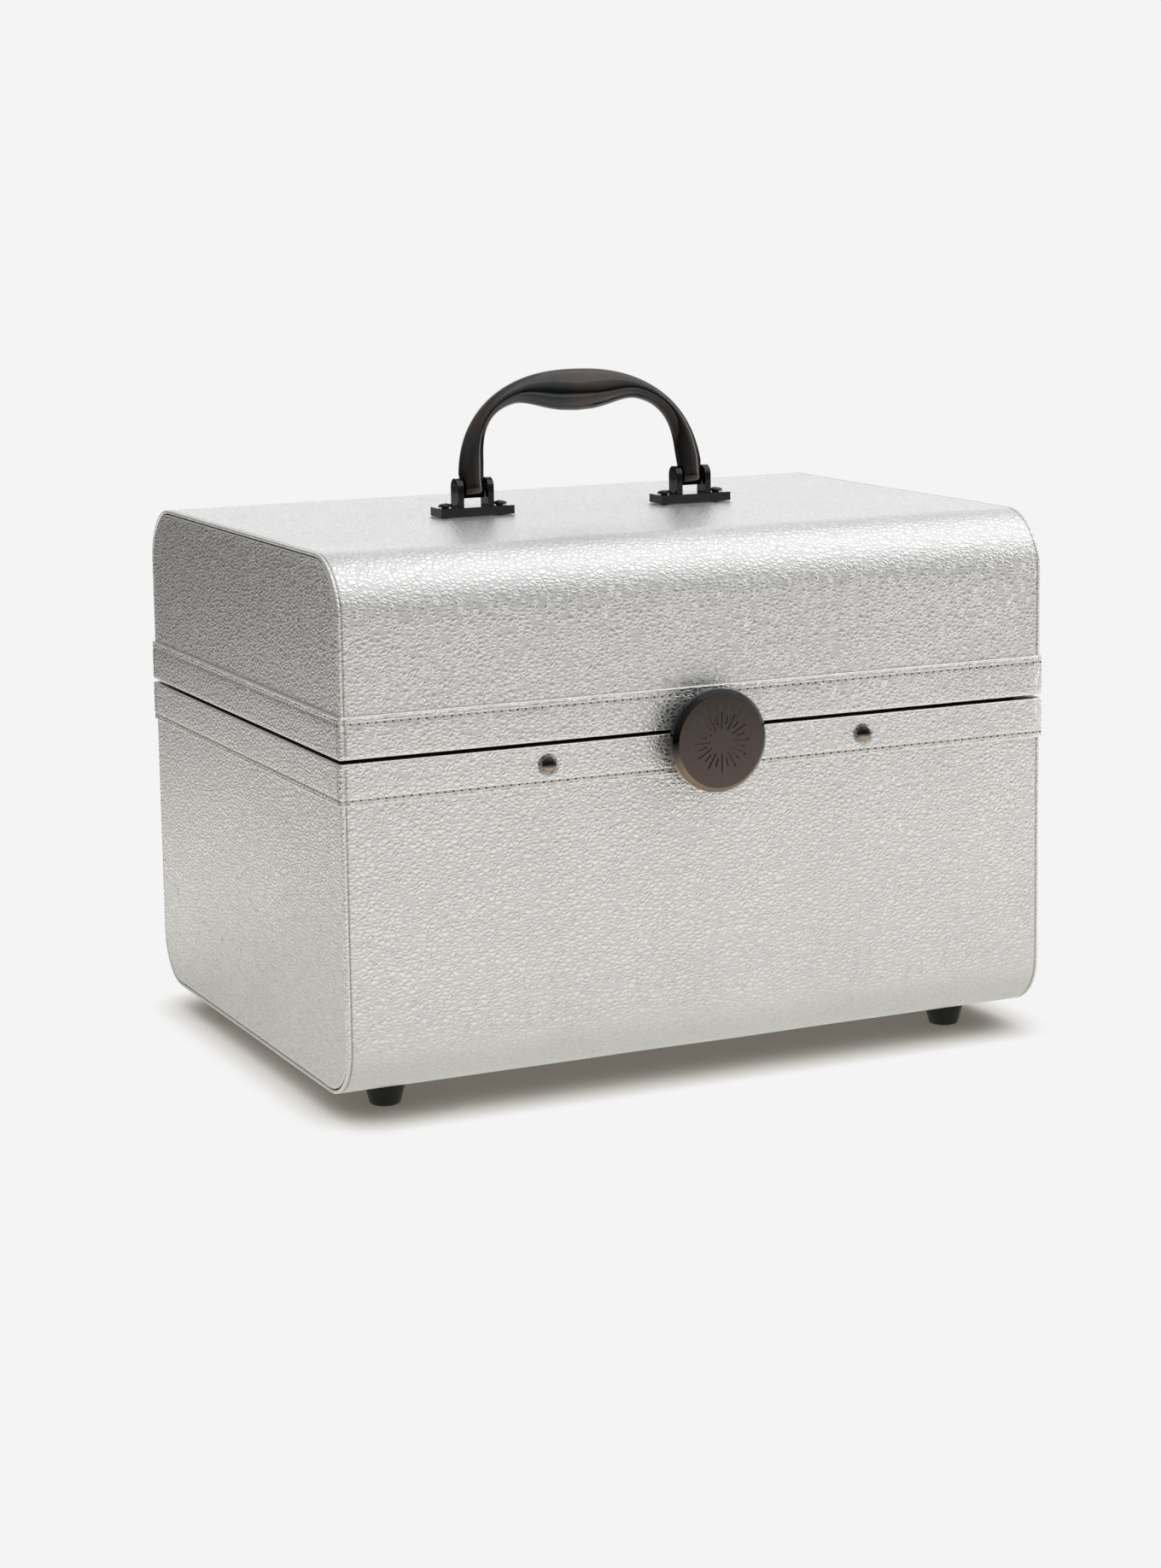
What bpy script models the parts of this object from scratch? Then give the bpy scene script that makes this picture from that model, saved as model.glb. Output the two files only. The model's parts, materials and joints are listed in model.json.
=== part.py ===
"""Makeup train case: a leather-covered box in two halves, with a carrying handle, a turn latch,
stop hinges, rubber feet, a lift-out tray and a mirror in the lid.

Metres. +X is the case's right, -Y its front (latch), +Y its back (hinges), +Z up. The origin is at
the bottom centre of the whole case, on the surface that its feet stand on.
"""

from math import acos, asin, cos, pi, radians, sin, sqrt

import bmesh
import bpy
from mathutils import Matrix, Vector

MM = 0.001

# ---------------------------------------------------------------- driving dimensions
# Case body, over the leather.
CASE_WIDTH = 300 * MM
CASE_DEPTH = 221.6 * MM
BASE_HEIGHT = 129.1 * MM
LID_HEIGHT = 74.5 * MM
TOP_RADIUS = 23.2 * MM
BOTTOM_RADIUS = 21 * MM
PARTING_GAP = 1.3 * MM

# Wall, from outside to inside.
WRAP_LEATHER = 1.5 * MM
END_LEATHER = 1.2 * MM
BOARD = 4 * MM
LINING = 1 * MM
END_GROOVE = 0.5 * MM
FIT_GAP = 0.3 * MM

# Leather binding band round each half, beside the parting line.
BAND_WIDTH = 16 * MM
BAND_THICK = 0.8 * MM

# Feet.
FOOT_HEIGHT = 10 * MM
FOOT_TOP_RADIUS = 8.2 * MM
FOOT_BOTTOM_RADIUS = 5.4 * MM
FOOT_INSET_X = 26 * MM
FOOT_INSET_Y = 31 * MM

# Rim frame in the mouth of the base, with a lip into the lid and a ledge for the tray.
RIM_WALL = 2 * MM
RIM_CLEARANCE = 0.8 * MM
RIM_DEPTH = 14 * MM
LIP_HEIGHT = 5 * MM
LEDGE_WIDTH = 5 * MM
LEDGE_THICK = 2 * MM
LEDGE_DROP = 3 * MM

# Lift-out tray.
TRAY_DEPTH = 36 * MM
TRAY_WALL = 2 * MM
TRAY_FLANGE = 2 * MM
TRAY_CLEARANCE = 0.6 * MM
TRAY_REAR_CELLS = 3
TRAY_REAR_CELL_DEPTH = 78 * MM
DIVIDER_THICK = 2.4 * MM
DIVIDER_SLOT_LENGTH = 34 * MM
DIVIDER_SLOT_HEIGHT = 12 * MM

# Mirror in the lid.
MIRROR_LENGTH = 190 * MM
MIRROR_WIDTH = 126 * MM
MIRROR_THICK = 2 * MM
MIRROR_FRAME_RIM = 5 * MM
MIRROR_FRAME_BACK = 1.2 * MM

# Carrying handle: an arch whose outer and inner lines are superellipses.
HANDLE_SPACING = 98.4 * MM
HANDLE_LEG = 11 * MM
HANDLE_OUTER_RISE = 47.5 * MM
HANDLE_INNER_RISE = 35.5 * MM
HANDLE_OUTER_POWER = 2.29
HANDLE_INNER_POWER = 4.0
HANDLE_BASE_DROP = 1.2 * MM
HANDLE_LEG_DEPTH = 9 * MM
HANDLE_GRIP_DEPTH = 13.5 * MM
HANDLE_GRIP_SWELL = 5.4 * MM
HANDLE_GRIP_HALF = 28.5 * MM
HANDLE_GRIP_POWER = 2.3
HANDLE_TONGUE = 9.8 * MM
HANDLE_LEAN = radians(10)
PIVOT_RISE = 11.5 * MM

# Handle brackets.
BRACKET_LENGTH = 32 * MM
BRACKET_WIDTH = 11.5 * MM
BRACKET_PLATE = 3.5 * MM
EAR_THICK = 2.6 * MM
EAR_RADIUS = 3.8 * MM
EAR_CLEARANCE = 0.35 * MM
PIN_RADIUS = 1.6 * MM

# Latch on the lid's front.
LATCH_RADIUS = 20 * MM
LATCH_BELOW_PARTING = 3.6 * MM
LATCH_STANDOFF = 0.5 * MM
HOUSING_DEPTH = 4.6 * MM
KNOB_DEPTH = 4.6 * MM
KNOB_BEVEL = 1.8 * MM
HOUSING_INSET = 3 * MM
HOUSING_WALL = 5.6 * MM
SPINDLE_RADIUS = 2.5 * MM
CAM_HUB_RADIUS = 3.9 * MM
CAM_HOOK_WIDTH = 2.4 * MM
CAM_POCKET_CLEARANCE = 0.5 * MM
CAM_THICK = 2 * MM
CAM_CLEARANCE = 1.2 * MM
CAM_ARM_WIDTH = 3.6 * MM
CAM_ARM_MARGIN = radians(10)
CAM_ARM_SPREAD = radians(8)
CAM_SWEEP = radians(90)
KEEPER_WIDTH = 5 * MM
KEEPER_THICK = 2.2 * MM
KEEPER_CAM_CLEARANCE = 1.2 * MM
KEEPER_REACH = 4 * MM
KEEPER_FLANGE_LENGTH = 16 * MM
KEEPER_FLANGE_HEIGHT = 9 * MM
KEEPER_FLANGE_THICK = 1.5 * MM
KEEPER_CLEARANCE = 0.8 * MM

# Butt hinges on the back.
HINGE_SPACING = 180 * MM
HINGE_LENGTH = 40 * MM
HINGE_LEAF_HEIGHT = 14.8 * MM
HINGE_LEAF_THICK = 1.5 * MM
HINGE_KNUCKLE_RADIUS = 2.8 * MM
HINGE_PIN_RADIUS = 1.25 * MM
HINGE_MIDDLE_KNUCKLE = 14 * MM
HINGE_SCREW_SPACING = 26 * MM

# Band rivets.
RIVET_SPACING = 135.4 * MM
RIVET_BELOW_PARTING = 8 * MM
RIVET_HEAD_RADIUS = 2.9 * MM
RIVET_HEAD_HEIGHT = 1.6 * MM
RIVET_SHANK_RADIUS = 1.5 * MM

# Wood screws: head radius, head height, shank radius.
BRACKET_SCREW = (2.9 * MM, 1.5 * MM, 1.4 * MM)
HINGE_SCREW = (2.2 * MM, 1.1 * MM, 1.1 * MM)
LATCH_SCREW = (1.9 * MM, 1.2 * MM, 1 * MM)
FOOT_SCREW = (2.7 * MM, 1.5 * MM, 1.4 * MM)
SCREW_COVER = 1 * MM
COUNTERBORE_CLEARANCE = 0.5 * MM
HOLE_REACH = 8 * MM
PIVOT_PIN_STAND = 0.4 * MM
HINGE_PIN_HEAD = 1 * MM
HINGE_PIN_HEAD_RIM = 0.4 * MM
FOOT_TOP_RIM = 1.5 * MM
FOOT_CHAMFER = 0.6 * MM

# Fineness of round shapes.
CORNER_STEPS = 6
ROUND_STEPS = 16
HOLE_STEPS = 12
PUCK_STEPS = 40
HANDLE_STEPS = 30
HANDLE_RING = 12

# ---------------------------------------------------------------- derived places
PARTING_Z = FOOT_HEIGHT + BASE_HEIGHT
TOP_Z = PARTING_Z + LID_HEIGHT
HALF_WIDTH = CASE_WIDTH / 2
HALF_DEPTH = CASE_DEPTH / 2

BOARD_INSET = WRAP_LEATHER + FIT_GAP
LINING_INSET = BOARD_INSET + BOARD + FIT_GAP
INSIDE_INSET = LINING_INSET + LINING
BOARD_GRIP = BOARD - SCREW_COVER
END_BOARD_INSET = END_LEATHER + FIT_GAP
END_LINING_INSET = END_BOARD_INSET + BOARD + FIT_GAP
END_INSIDE_INSET = END_LINING_INSET + LINING

BAND_PROUD = FIT_GAP + BAND_THICK
BAND_Y = HALF_DEPTH + BAND_PROUD

HINGE_Y = BAND_Y + FIT_GAP + HINGE_KNUCKLE_RADIUS
HINGE_CLEAR = HINGE_KNUCKLE_RADIUS + FIT_GAP

LATCH_Z = PARTING_Z - LATCH_BELOW_PARTING
LATCH_BACK_Y = -BAND_Y - LATCH_STANDOFF
KNOB_BACK_Y = LATCH_BACK_Y - HOUSING_DEPTH - FIT_GAP
LATCH_FRONT_Y = KNOB_BACK_Y - KNOB_DEPTH

HOUSING_RADIUS = LATCH_RADIUS - HOUSING_INSET
POCKET_RADIUS = HOUSING_RADIUS - HOUSING_WALL
CAM_OUTER_RADIUS = POCKET_RADIUS - CAM_POCKET_CLEARANCE
CAM_INNER_RADIUS = CAM_OUTER_RADIUS - CAM_HOOK_WIDTH
# The tongue's lower corners stay inside the circle that the cam's hook sweeps.
KEEPER_SWEEP_RADIUS = CAM_INNER_RADIUS - KEEPER_CAM_CLEARANCE
KEEPER_DROP = sqrt(KEEPER_SWEEP_RADIUS**2 - (KEEPER_WIDTH / 2) ** 2) - KEEPER_THICK / 2

PIVOT_Z = TOP_Z + PIVOT_RISE
CASE_Y = (-LATCH_FRONT_Y - (HINGE_Y + HINGE_KNUCKLE_RADIUS)) / 2

RIM_HALF_X = HALF_WIDTH - END_INSIDE_INSET - RIM_CLEARANCE
RIM_HALF_Y = HALF_DEPTH - INSIDE_INSET - RIM_CLEARANCE
LEDGE_TOP_Z = PARTING_Z - LEDGE_DROP

# Turns a flat outline's own axes into the case's: (Y, Z) with its thickness along X, and
# (X, Z) with its thickness along Y.
FACE_X = (pi / 2, 0, pi / 2)
FACE_Y = (pi / 2, 0, 0)
MIDDLE = Vector((0, 0, PARTING_Z))

# Colour, roughness and metallic value of each finish.
FINISHES = {
    "silver_leather": ((0.56, 0.57, 0.58), 0.42, 0.55),
    "board": ((0.30, 0.22, 0.15), 0.80, 0.0),
    "lining_fabric": ((0.055, 0.055, 0.06), 0.90, 0.0),
    "gunmetal": ((0.05, 0.048, 0.047), 0.18, 1.0),
    "satin_gunmetal": ((0.085, 0.068, 0.06), 0.36, 0.9),
    "steel": ((0.50, 0.50, 0.51), 0.30, 1.0),
    "rubber": ((0.012, 0.012, 0.012), 0.60, 0.0),
    "tray_plastic": ((0.09, 0.09, 0.095), 0.45, 0.0),
    "mirror_glass": ((0.86, 0.88, 0.89), 0.03, 1.0),
}


# ---------------------------------------------------------------- scene helpers
def clear_scene():
    for item in list(bpy.data.objects):
        bpy.data.objects.remove(item, do_unlink=True)


def new_collection(name):
    collection = bpy.data.collections.new(name)
    bpy.context.scene.collection.children.link(collection)
    return collection


def make_finishes():
    made = {}
    for name, (colour, roughness, metallic) in FINISHES.items():
        finish = bpy.data.materials.new(name)
        finish.use_nodes = True
        shader = finish.node_tree.nodes["Principled BSDF"]
        shader.inputs["Base Color"].default_value = (*colour, 1.0)
        shader.inputs["Roughness"].default_value = roughness
        shader.inputs["Metallic"].default_value = metallic
        finish.diffuse_color = (*colour, 1.0)
        made[name] = finish
    return made


clear_scene()
PARTS = new_collection("makeup_train_case")
CUTTERS = new_collection("cutters")
MATERIALS = make_finishes()
ORIGINS = {}


def add_frame(name, place, parent=None):
    """An empty at a place given in the case's own frame, for pieces to be parented to."""
    frame = bpy.data.objects.new(name, None)
    PARTS.objects.link(frame)
    ORIGINS[frame] = Vector(place)
    frame.parent = parent
    frame.location = Vector(place) - (ORIGINS[parent] if parent else Vector())
    return frame


def add_piece(name, mesh, finish, place, parent, rotation=(0, 0, 0)):
    """A piece at a place given in the case's own frame."""
    piece = bpy.data.objects.new(name, mesh)
    PARTS.objects.link(piece)
    piece.parent = parent
    piece.location = Vector(place) - ORIGINS[parent]
    piece.rotation_euler = rotation
    mesh.materials.clear()
    mesh.materials.append(MATERIALS[finish])
    return piece


def add_cutter(name, mesh, place, rotation=(0, 0, 0)):
    cutter = bpy.data.objects.new(name, mesh)
    CUTTERS.objects.link(cutter)
    cutter.parent = case_frame
    cutter.location = Vector(place)
    cutter.rotation_euler = rotation
    cutter.hide_render = True
    cutter.display_type = "WIRE"
    return cutter


def combine(piece, other, operation="DIFFERENCE"):
    change = piece.modifiers.new(other.name, "BOOLEAN")
    change.operation = operation
    change.object = other
    change.solver = "EXACT"


def shade_round(mesh, angle=35):
    mesh.shade_smooth()
    mesh.set_sharp_from_angle(angle=radians(angle))


# ---------------------------------------------------------------- shape helpers
def box_mesh(name, low, high):
    mesh = bpy.data.meshes.new(name)
    shape = bmesh.new()
    bmesh.ops.create_cube(shape, size=1.0)
    size = Vector(high) - Vector(low)
    middle = (Vector(high) + Vector(low)) / 2
    bmesh.ops.scale(shape, vec=size, verts=shape.verts)
    bmesh.ops.translate(shape, vec=middle, verts=shape.verts)
    shape.to_mesh(mesh)
    shape.free()
    return mesh


def cylinder_mesh(name, radius, length, steps):
    """A cylinder along Z, centred on the origin."""
    mesh = bpy.data.meshes.new(name)
    shape = bmesh.new()
    bmesh.ops.create_cone(
        shape, cap_ends=True, segments=steps, radius1=radius, radius2=radius, depth=length
    )
    shape.to_mesh(mesh)
    shape.free()
    return mesh


def profile_mesh(name, profile):
    """The open profile of a turned shape, radius and height from top to bottom."""
    mesh = bpy.data.meshes.new(name)
    points = [(radius, 0, height) for radius, height in profile]
    edges = [(i, i + 1) for i in range(len(points) - 1)]
    mesh.from_pydata(points, edges, [])
    return mesh


def turn(piece, steps):
    """Turns a profile about the piece's own Z axis."""
    screw = piece.modifiers.new("turn", "SCREW")
    screw.steps = steps
    screw.render_steps = steps
    screw.use_merge_vertices = True
    screw.merge_threshold = 0.00001
    screw.use_smooth_shade = True
    return piece


def outline_mesh(name, outlines, thickness, rotation=(0, 0, 0)):
    """A flat solid from closed outlines, the first one outside and any others holes."""
    curve = bpy.data.curves.new(name, "CURVE")
    curve.dimensions = "2D"
    curve.fill_mode = "BOTH"
    curve.extrude = thickness / 2
    for outline in outlines:
        spline = curve.splines.new("POLY")
        spline.points.add(len(outline) - 1)
        spline.use_cyclic_u = True
        for point, (u, v) in zip(spline.points, outline):
            point.co = (u, v, 0, 1)
    guide = bpy.data.objects.new(name, curve)
    CUTTERS.objects.link(guide)
    guide.rotation_euler = rotation
    bpy.context.view_layer.update()
    ready = guide.evaluated_get(bpy.context.evaluated_depsgraph_get())
    mesh = bpy.data.meshes.new_from_object(ready)
    mesh.transform(guide.matrix_world)
    shape = bmesh.new()
    shape.from_mesh(mesh)
    bmesh.ops.remove_doubles(shape, verts=shape.verts, dist=0.000001)
    bmesh.ops.recalc_face_normals(shape, faces=shape.faces)
    shape.to_mesh(mesh)
    shape.free()
    bpy.data.objects.remove(guide)
    mesh.name = name
    return mesh


def arc(middle, radius, start, stop, steps):
    """Points on an arc, angles in radians from the first axis."""
    points = []
    for i in range(steps + 1):
        angle = start + (stop - start) * i / steps
        points.append((middle[0] + radius * cos(angle), middle[1] + radius * sin(angle)))
    return points


# ---------------------------------------------------------------- case halves
def half_outline(is_lid, inset, end_inset=0.0):
    """One half's cross-section as (y, z), from its back edge round to its front edge at the mouth."""
    half = HALF_DEPTH - inset
    mouth = PARTING_GAP / 2 + end_inset
    if is_lid:
        radius = TOP_RADIUS - inset
        far = TOP_Z - inset
        corners = ((half - radius, far - radius, 0), (radius - half, far - radius, pi / 2))
        mouth_z = PARTING_Z + mouth
        turn_by = pi / 2
    else:
        radius = BOTTOM_RADIUS - inset
        far = FOOT_HEIGHT + inset
        corners = ((half - radius, far + radius, 0), (radius - half, far + radius, -pi / 2))
        mouth_z = PARTING_Z - mouth
        turn_by = -pi / 2
    points = [(half, mouth_z)]
    for y, z, start in corners:
        points += arc((y, z), radius, start, start + turn_by, CORNER_STEPS)
    points.append((-half, mouth_z))
    return points


def wall_mesh(name, outline, half_width, with_ends):
    """The open surface that an outline sweeps along X, with or without its two end faces."""
    mesh = bpy.data.meshes.new(name)
    shape = bmesh.new()
    left = [shape.verts.new((-half_width, y, z)) for y, z in outline]
    edges = [shape.edges.new(pair) for pair in zip(left, left[1:])]
    swept = bmesh.ops.extrude_edge_only(shape, edges=edges)["geom"]
    right = [item for item in swept if isinstance(item, bmesh.types.BMVert)]
    bmesh.ops.translate(shape, vec=(2 * half_width, 0, 0), verts=right)
    if with_ends:
        shape.faces.new(left)
        shape.verts.ensure_lookup_table()
        order = {vert.co.yz.to_tuple(6): vert for vert in right}
        shape.faces.new([order[vert.co.yz.to_tuple(6)] for vert in left])
    bmesh.ops.recalc_face_normals(shape, faces=shape.faces)
    inward = sum((face.normal.dot(face.calc_center_median() - MIDDLE) for face in shape.faces)) < 0
    if inward:
        bmesh.ops.reverse_faces(shape, faces=shape.faces)
    shape.to_mesh(mesh)
    shape.free()
    shade_round(mesh, 40)
    return mesh


def thicken(piece, thickness, outward=False):
    solid = piece.modifiers.new("thickness", "SOLIDIFY")
    solid.thickness = thickness
    solid.offset = 1 if outward else -1
    solid.use_even_offset = True
    solid.use_quality_normals = True


def make_half(prefix, is_lid, parent):
    """Boards, leather, lining and binding band of one half. Returns the pieces that get holes."""
    at = ORIGINS[parent]

    def shell(name, inset, half_width, thickness, finish, with_ends=False):
        mesh = wall_mesh(name, half_outline(is_lid, inset), half_width, with_ends)
        mesh.transform(Matrix.Translation(-at))
        piece = add_piece(name, mesh, finish, at, parent)
        thicken(piece, thickness)
        return piece

    board_half = HALF_WIDTH - END_BOARD_INSET - BOARD - FIT_GAP
    lining_half = HALF_WIDTH - END_LINING_INSET
    board = shell(f"{prefix}_wrap_board", BOARD_INSET, board_half, BOARD, "board")
    leather = shell(f"{prefix}_wrap_leather", 0, HALF_WIDTH, WRAP_LEATHER, "silver_leather")
    shell(f"{prefix}_lining", LINING_INSET, lining_half, LINING, "lining_fabric", True)

    end_layers = (
        ("end_board", BOARD_INSET, END_BOARD_INSET, BOARD, "board"),
        ("end_leather", WRAP_LEATHER + END_GROOVE, 0, END_LEATHER, "silver_leather"),
    )
    for layer, inset, depth_inset, thickness, finish in end_layers:
        outline = half_outline(is_lid, inset)
        for side, sign in (("left", -1), ("right", 1)):
            x = sign * (HALF_WIDTH - depth_inset - thickness / 2)
            mesh = outline_mesh(f"{prefix}_{layer}_{side}", [outline], thickness, FACE_X)
            mesh.transform(Matrix.Translation(-at + Vector((x, 0, 0))))
            add_piece(f"{prefix}_{layer}_{side}", mesh, finish, at, parent)

    band = make_band(f"{prefix}_binding_band", is_lid, parent)
    return board, leather, band


def make_band(name, is_lid, parent):
    """The leather band that runs round a half beside its mouth."""
    mouth_z = PARTING_Z + (PARTING_GAP / 2 if is_lid else -PARTING_GAP / 2)
    far_z = mouth_z + (BAND_WIDTH if is_lid else -BAND_WIDTH)
    low_z, high_z = sorted((mouth_z, far_z))
    inner = Vector((HALF_WIDTH + FIT_GAP, HALF_DEPTH + FIT_GAP, 0))
    mesh = box_mesh(name, (-inner.x, -inner.y, low_z), (inner.x, inner.y, high_z))
    shape = bmesh.new()
    shape.from_mesh(mesh)
    ends = [face for face in shape.faces if abs(face.normal.z) > 0.5]
    bmesh.ops.delete(shape, geom=ends, context="FACES_ONLY")
    shape.to_mesh(mesh)
    shape.free()
    at = ORIGINS[parent]
    mesh.transform(Matrix.Translation(-at))
    band = add_piece(name, mesh, "silver_leather", at, parent)
    thicken(band, BAND_THICK, outward=True)
    return band


# ---------------------------------------------------------------- fasteners
def screw_profile(head_radius, head_height, shank_radius, length):
    """Pan head above zero, shank below it."""
    return [
        (0, head_height),
        (head_radius * 0.55, head_height * 0.93),
        (head_radius * 0.88, head_height * 0.62),
        (head_radius, head_height * 0.25),
        (head_radius, 0),
        (shank_radius, 0),
        (shank_radius, -length + shank_radius),
        (0, -length),
    ]


def fasten(name, sizes, finish, seat, out, length, through, parent, sunk=0.0):
    """A screw or rivet seated on a surface, and its hole through each piece it passes.

    seat is the point on the surface under its head, and out is the way its head faces. Where
    sunk is set, the hole has a counterbore that much wider than the head.
    """
    head_radius, head_height, shank_radius = sizes
    out = Vector(out)
    place = Vector(seat) + out * FIT_GAP
    rotation = out.to_track_quat("Z", "Y").to_euler()
    profile = screw_profile(head_radius, head_height, shank_radius, length)
    screw = add_piece(name, profile_mesh(name, profile), finish, place, parent, rotation)
    turn(screw, HOLE_STEPS)

    hole_radius = shank_radius + FIT_GAP
    bottom = -length - FIT_GAP
    if sunk:
        wide = head_radius + sunk
        hole = [
            (0, HOLE_REACH),
            (wide, HOLE_REACH),
            (wide, -FIT_GAP),
            (hole_radius, -FIT_GAP),
            (hole_radius, bottom),
            (0, bottom),
        ]
    else:
        hole = [(0, HOLE_REACH), (hole_radius, HOLE_REACH), (hole_radius, bottom), (0, bottom)]
    cutter = turn(add_cutter(f"{name}_hole", profile_mesh(f"{name}_hole", hole), place, rotation), HOLE_STEPS)
    for piece in through:
        combine(piece, cutter)
    return screw


# ---------------------------------------------------------------- feet
def make_feet():
    """Four tapered rubber feet, each held by a screw sunk in its underside."""
    head_radius, head_height, _ = FOOT_SCREW
    height = FOOT_HEIGHT - FIT_GAP
    seat_z = head_height + FIT_GAP + COUNTERBORE_CLEARANCE
    profile = [
        (0, height),
        (FOOT_TOP_RADIUS, height),
        (FOOT_TOP_RADIUS, height - FOOT_TOP_RIM),
        (FOOT_BOTTOM_RADIUS + FOOT_CHAMFER, FOOT_CHAMFER),
        (FOOT_BOTTOM_RADIUS, 0),
        (0, 0),
    ]
    length = height - seat_z + FIT_GAP + WRAP_LEATHER + FIT_GAP + BOARD_GRIP + FIT_GAP
    for row, y_sign in (("front", -1), ("rear", 1)):
        for side, x_sign in (("left", -1), ("right", 1)):
            x = x_sign * (HALF_WIDTH - FOOT_INSET_X)
            y = y_sign * (HALF_DEPTH - FOOT_INSET_Y)
            name = f"foot_{row}_{side}"
            foot = add_piece(name, profile_mesh(name, profile), "rubber", (x, y, 0), base_frame)
            turn(foot, ROUND_STEPS)
            fasten(
                f"foot_screw_{row}_{side}", FOOT_SCREW, "steel", (x, y, seat_z), (0, 0, -1),
                length, (foot, base_leather, base_board), base_frame, COUNTERBORE_CLEARANCE,
            )


# ---------------------------------------------------------------- inside fittings
def make_rim_frame():
    """The frame in the base's mouth: wall, lip and ledge."""
    bottom = PARTING_Z - RIM_DEPTH
    top = PARTING_Z + LIP_HEIGHT
    wall_x = RIM_HALF_X - RIM_WALL
    wall_y = RIM_HALF_Y - RIM_WALL
    ledge_x = wall_x - LEDGE_WIDTH
    ledge_y = wall_y - LEDGE_WIDTH
    past = LIP_HEIGHT
    at = ORIGINS[base_frame]
    mesh = box_mesh("base_rim_frame", (-RIM_HALF_X, -RIM_HALF_Y, bottom), (RIM_HALF_X, RIM_HALF_Y, top))
    rim = add_piece("base_rim_frame", mesh, "tray_plastic", at, base_frame)
    spaces = (
        ("rim_above_ledge", wall_x, wall_y, LEDGE_TOP_Z, top + past),
        ("rim_through_ledge", ledge_x, ledge_y, bottom - past, top + past),
        ("rim_below_ledge", wall_x, wall_y, bottom - past, LEDGE_TOP_Z - LEDGE_THICK),
    )
    for name, x, y, low, high in spaces:
        combine(rim, add_cutter(name, box_mesh(name, (-x, -y, low), (x, y, high)), (0, 0, 0)))


def make_tray():
    """A moulded tray that hangs by its flange on the rim frame's ledge, and its cross divider."""
    ledge_x = RIM_HALF_X - RIM_WALL - LEDGE_WIDTH
    ledge_y = RIM_HALF_Y - RIM_WALL - LEDGE_WIDTH
    flange_x = RIM_HALF_X - RIM_WALL - TRAY_CLEARANCE
    flange_y = RIM_HALF_Y - RIM_WALL - TRAY_CLEARANCE
    body_x = ledge_x - TRAY_CLEARANCE
    body_y = ledge_y - TRAY_CLEARANCE
    flange_low = LEDGE_TOP_Z + FIT_GAP
    top = flange_low + TRAY_FLANGE
    bottom = top - TRAY_DEPTH
    overlap = TRAY_FLANGE / 2
    at = ORIGINS[tray_frame]

    mesh = box_mesh("tray", (-body_x, -body_y, bottom), (body_x, body_y, top - overlap))
    mesh.transform(Matrix.Translation(-at))
    tray = add_piece("tray", mesh, "tray_plastic", at, tray_frame)
    flange = box_mesh("tray_flange", (-flange_x, -flange_y, flange_low), (flange_x, flange_y, top))
    combine(tray, add_cutter("tray_flange", flange, (0, 0, 0)), "UNION")

    floor = bottom + TRAY_WALL
    inside_x = body_x - TRAY_WALL
    inside_y = body_y - TRAY_WALL
    rear_y = inside_y - TRAY_REAR_CELL_DEPTH
    front_y = rear_y - TRAY_WALL
    cells = [("tray_front_cell", -inside_x, inside_x, -inside_y, front_y)]
    cell_width = (2 * inside_x - (TRAY_REAR_CELLS - 1) * TRAY_WALL) / TRAY_REAR_CELLS
    for i in range(TRAY_REAR_CELLS):
        x = -inside_x + i * (cell_width + TRAY_WALL)
        cells.append((f"tray_rear_cell_{i + 1}", x, x + cell_width, rear_y, inside_y))
    for name, x_low, x_high, y_low, y_high in cells:
        space = box_mesh(name, (x_low, y_low, floor), (x_high, y_high, top + TRAY_FLANGE))
        combine(tray, add_cutter(name, space, (0, 0, 0)))

    low = (-DIVIDER_THICK / 2, -inside_y + FIT_GAP, floor + FIT_GAP)
    high = (DIVIDER_THICK / 2, front_y - FIT_GAP, top)
    mesh = box_mesh("tray_divider", low, high)
    mesh.transform(Matrix.Translation(-at))
    divider = add_piece("tray_divider", mesh, "tray_plastic", at, tray_frame)
    middle_y = (low[1] + high[1]) / 2
    slot_top = top - 2 * DIVIDER_THICK
    slot = box_mesh(
        "divider_grip_slot",
        (-DIVIDER_THICK, middle_y - DIVIDER_SLOT_LENGTH / 2, slot_top - DIVIDER_SLOT_HEIGHT),
        (DIVIDER_THICK, middle_y + DIVIDER_SLOT_LENGTH / 2, slot_top),
    )
    combine(divider, add_cutter("divider_grip_slot", slot, (0, 0, 0)))


def make_mirror():
    """A framed mirror under the lid's top."""
    top = TOP_Z - INSIDE_INSET - FIT_GAP
    glass_top = top - MIRROR_FRAME_BACK - FIT_GAP
    glass_low = glass_top - MIRROR_THICK
    low = glass_low - FIT_GAP
    half_x = MIRROR_LENGTH / 2
    half_y = MIRROR_WIDTH / 2
    at = ORIGINS[lid_frame]

    mesh = box_mesh("mirror_frame", (-half_x, -half_y, low), (half_x, half_y, top))
    mesh.transform(Matrix.Translation(-at))
    frame = add_piece("mirror_frame", mesh, "satin_gunmetal", at, lid_frame)
    x = half_x - MIRROR_FRAME_RIM
    y = half_y - MIRROR_FRAME_RIM
    recess = box_mesh("mirror_recess", (-x, -y, low - MIRROR_THICK), (x, y, top - MIRROR_FRAME_BACK))
    combine(frame, add_cutter("mirror_recess", recess, (0, 0, 0)))

    x -= FIT_GAP
    y -= FIT_GAP
    mesh = box_mesh("mirror_glass", (-x, -y, glass_low), (x, y, glass_top))
    mesh.transform(Matrix.Translation(-at))
    add_piece("mirror_glass", mesh, "mirror_glass", at, lid_frame)


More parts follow.
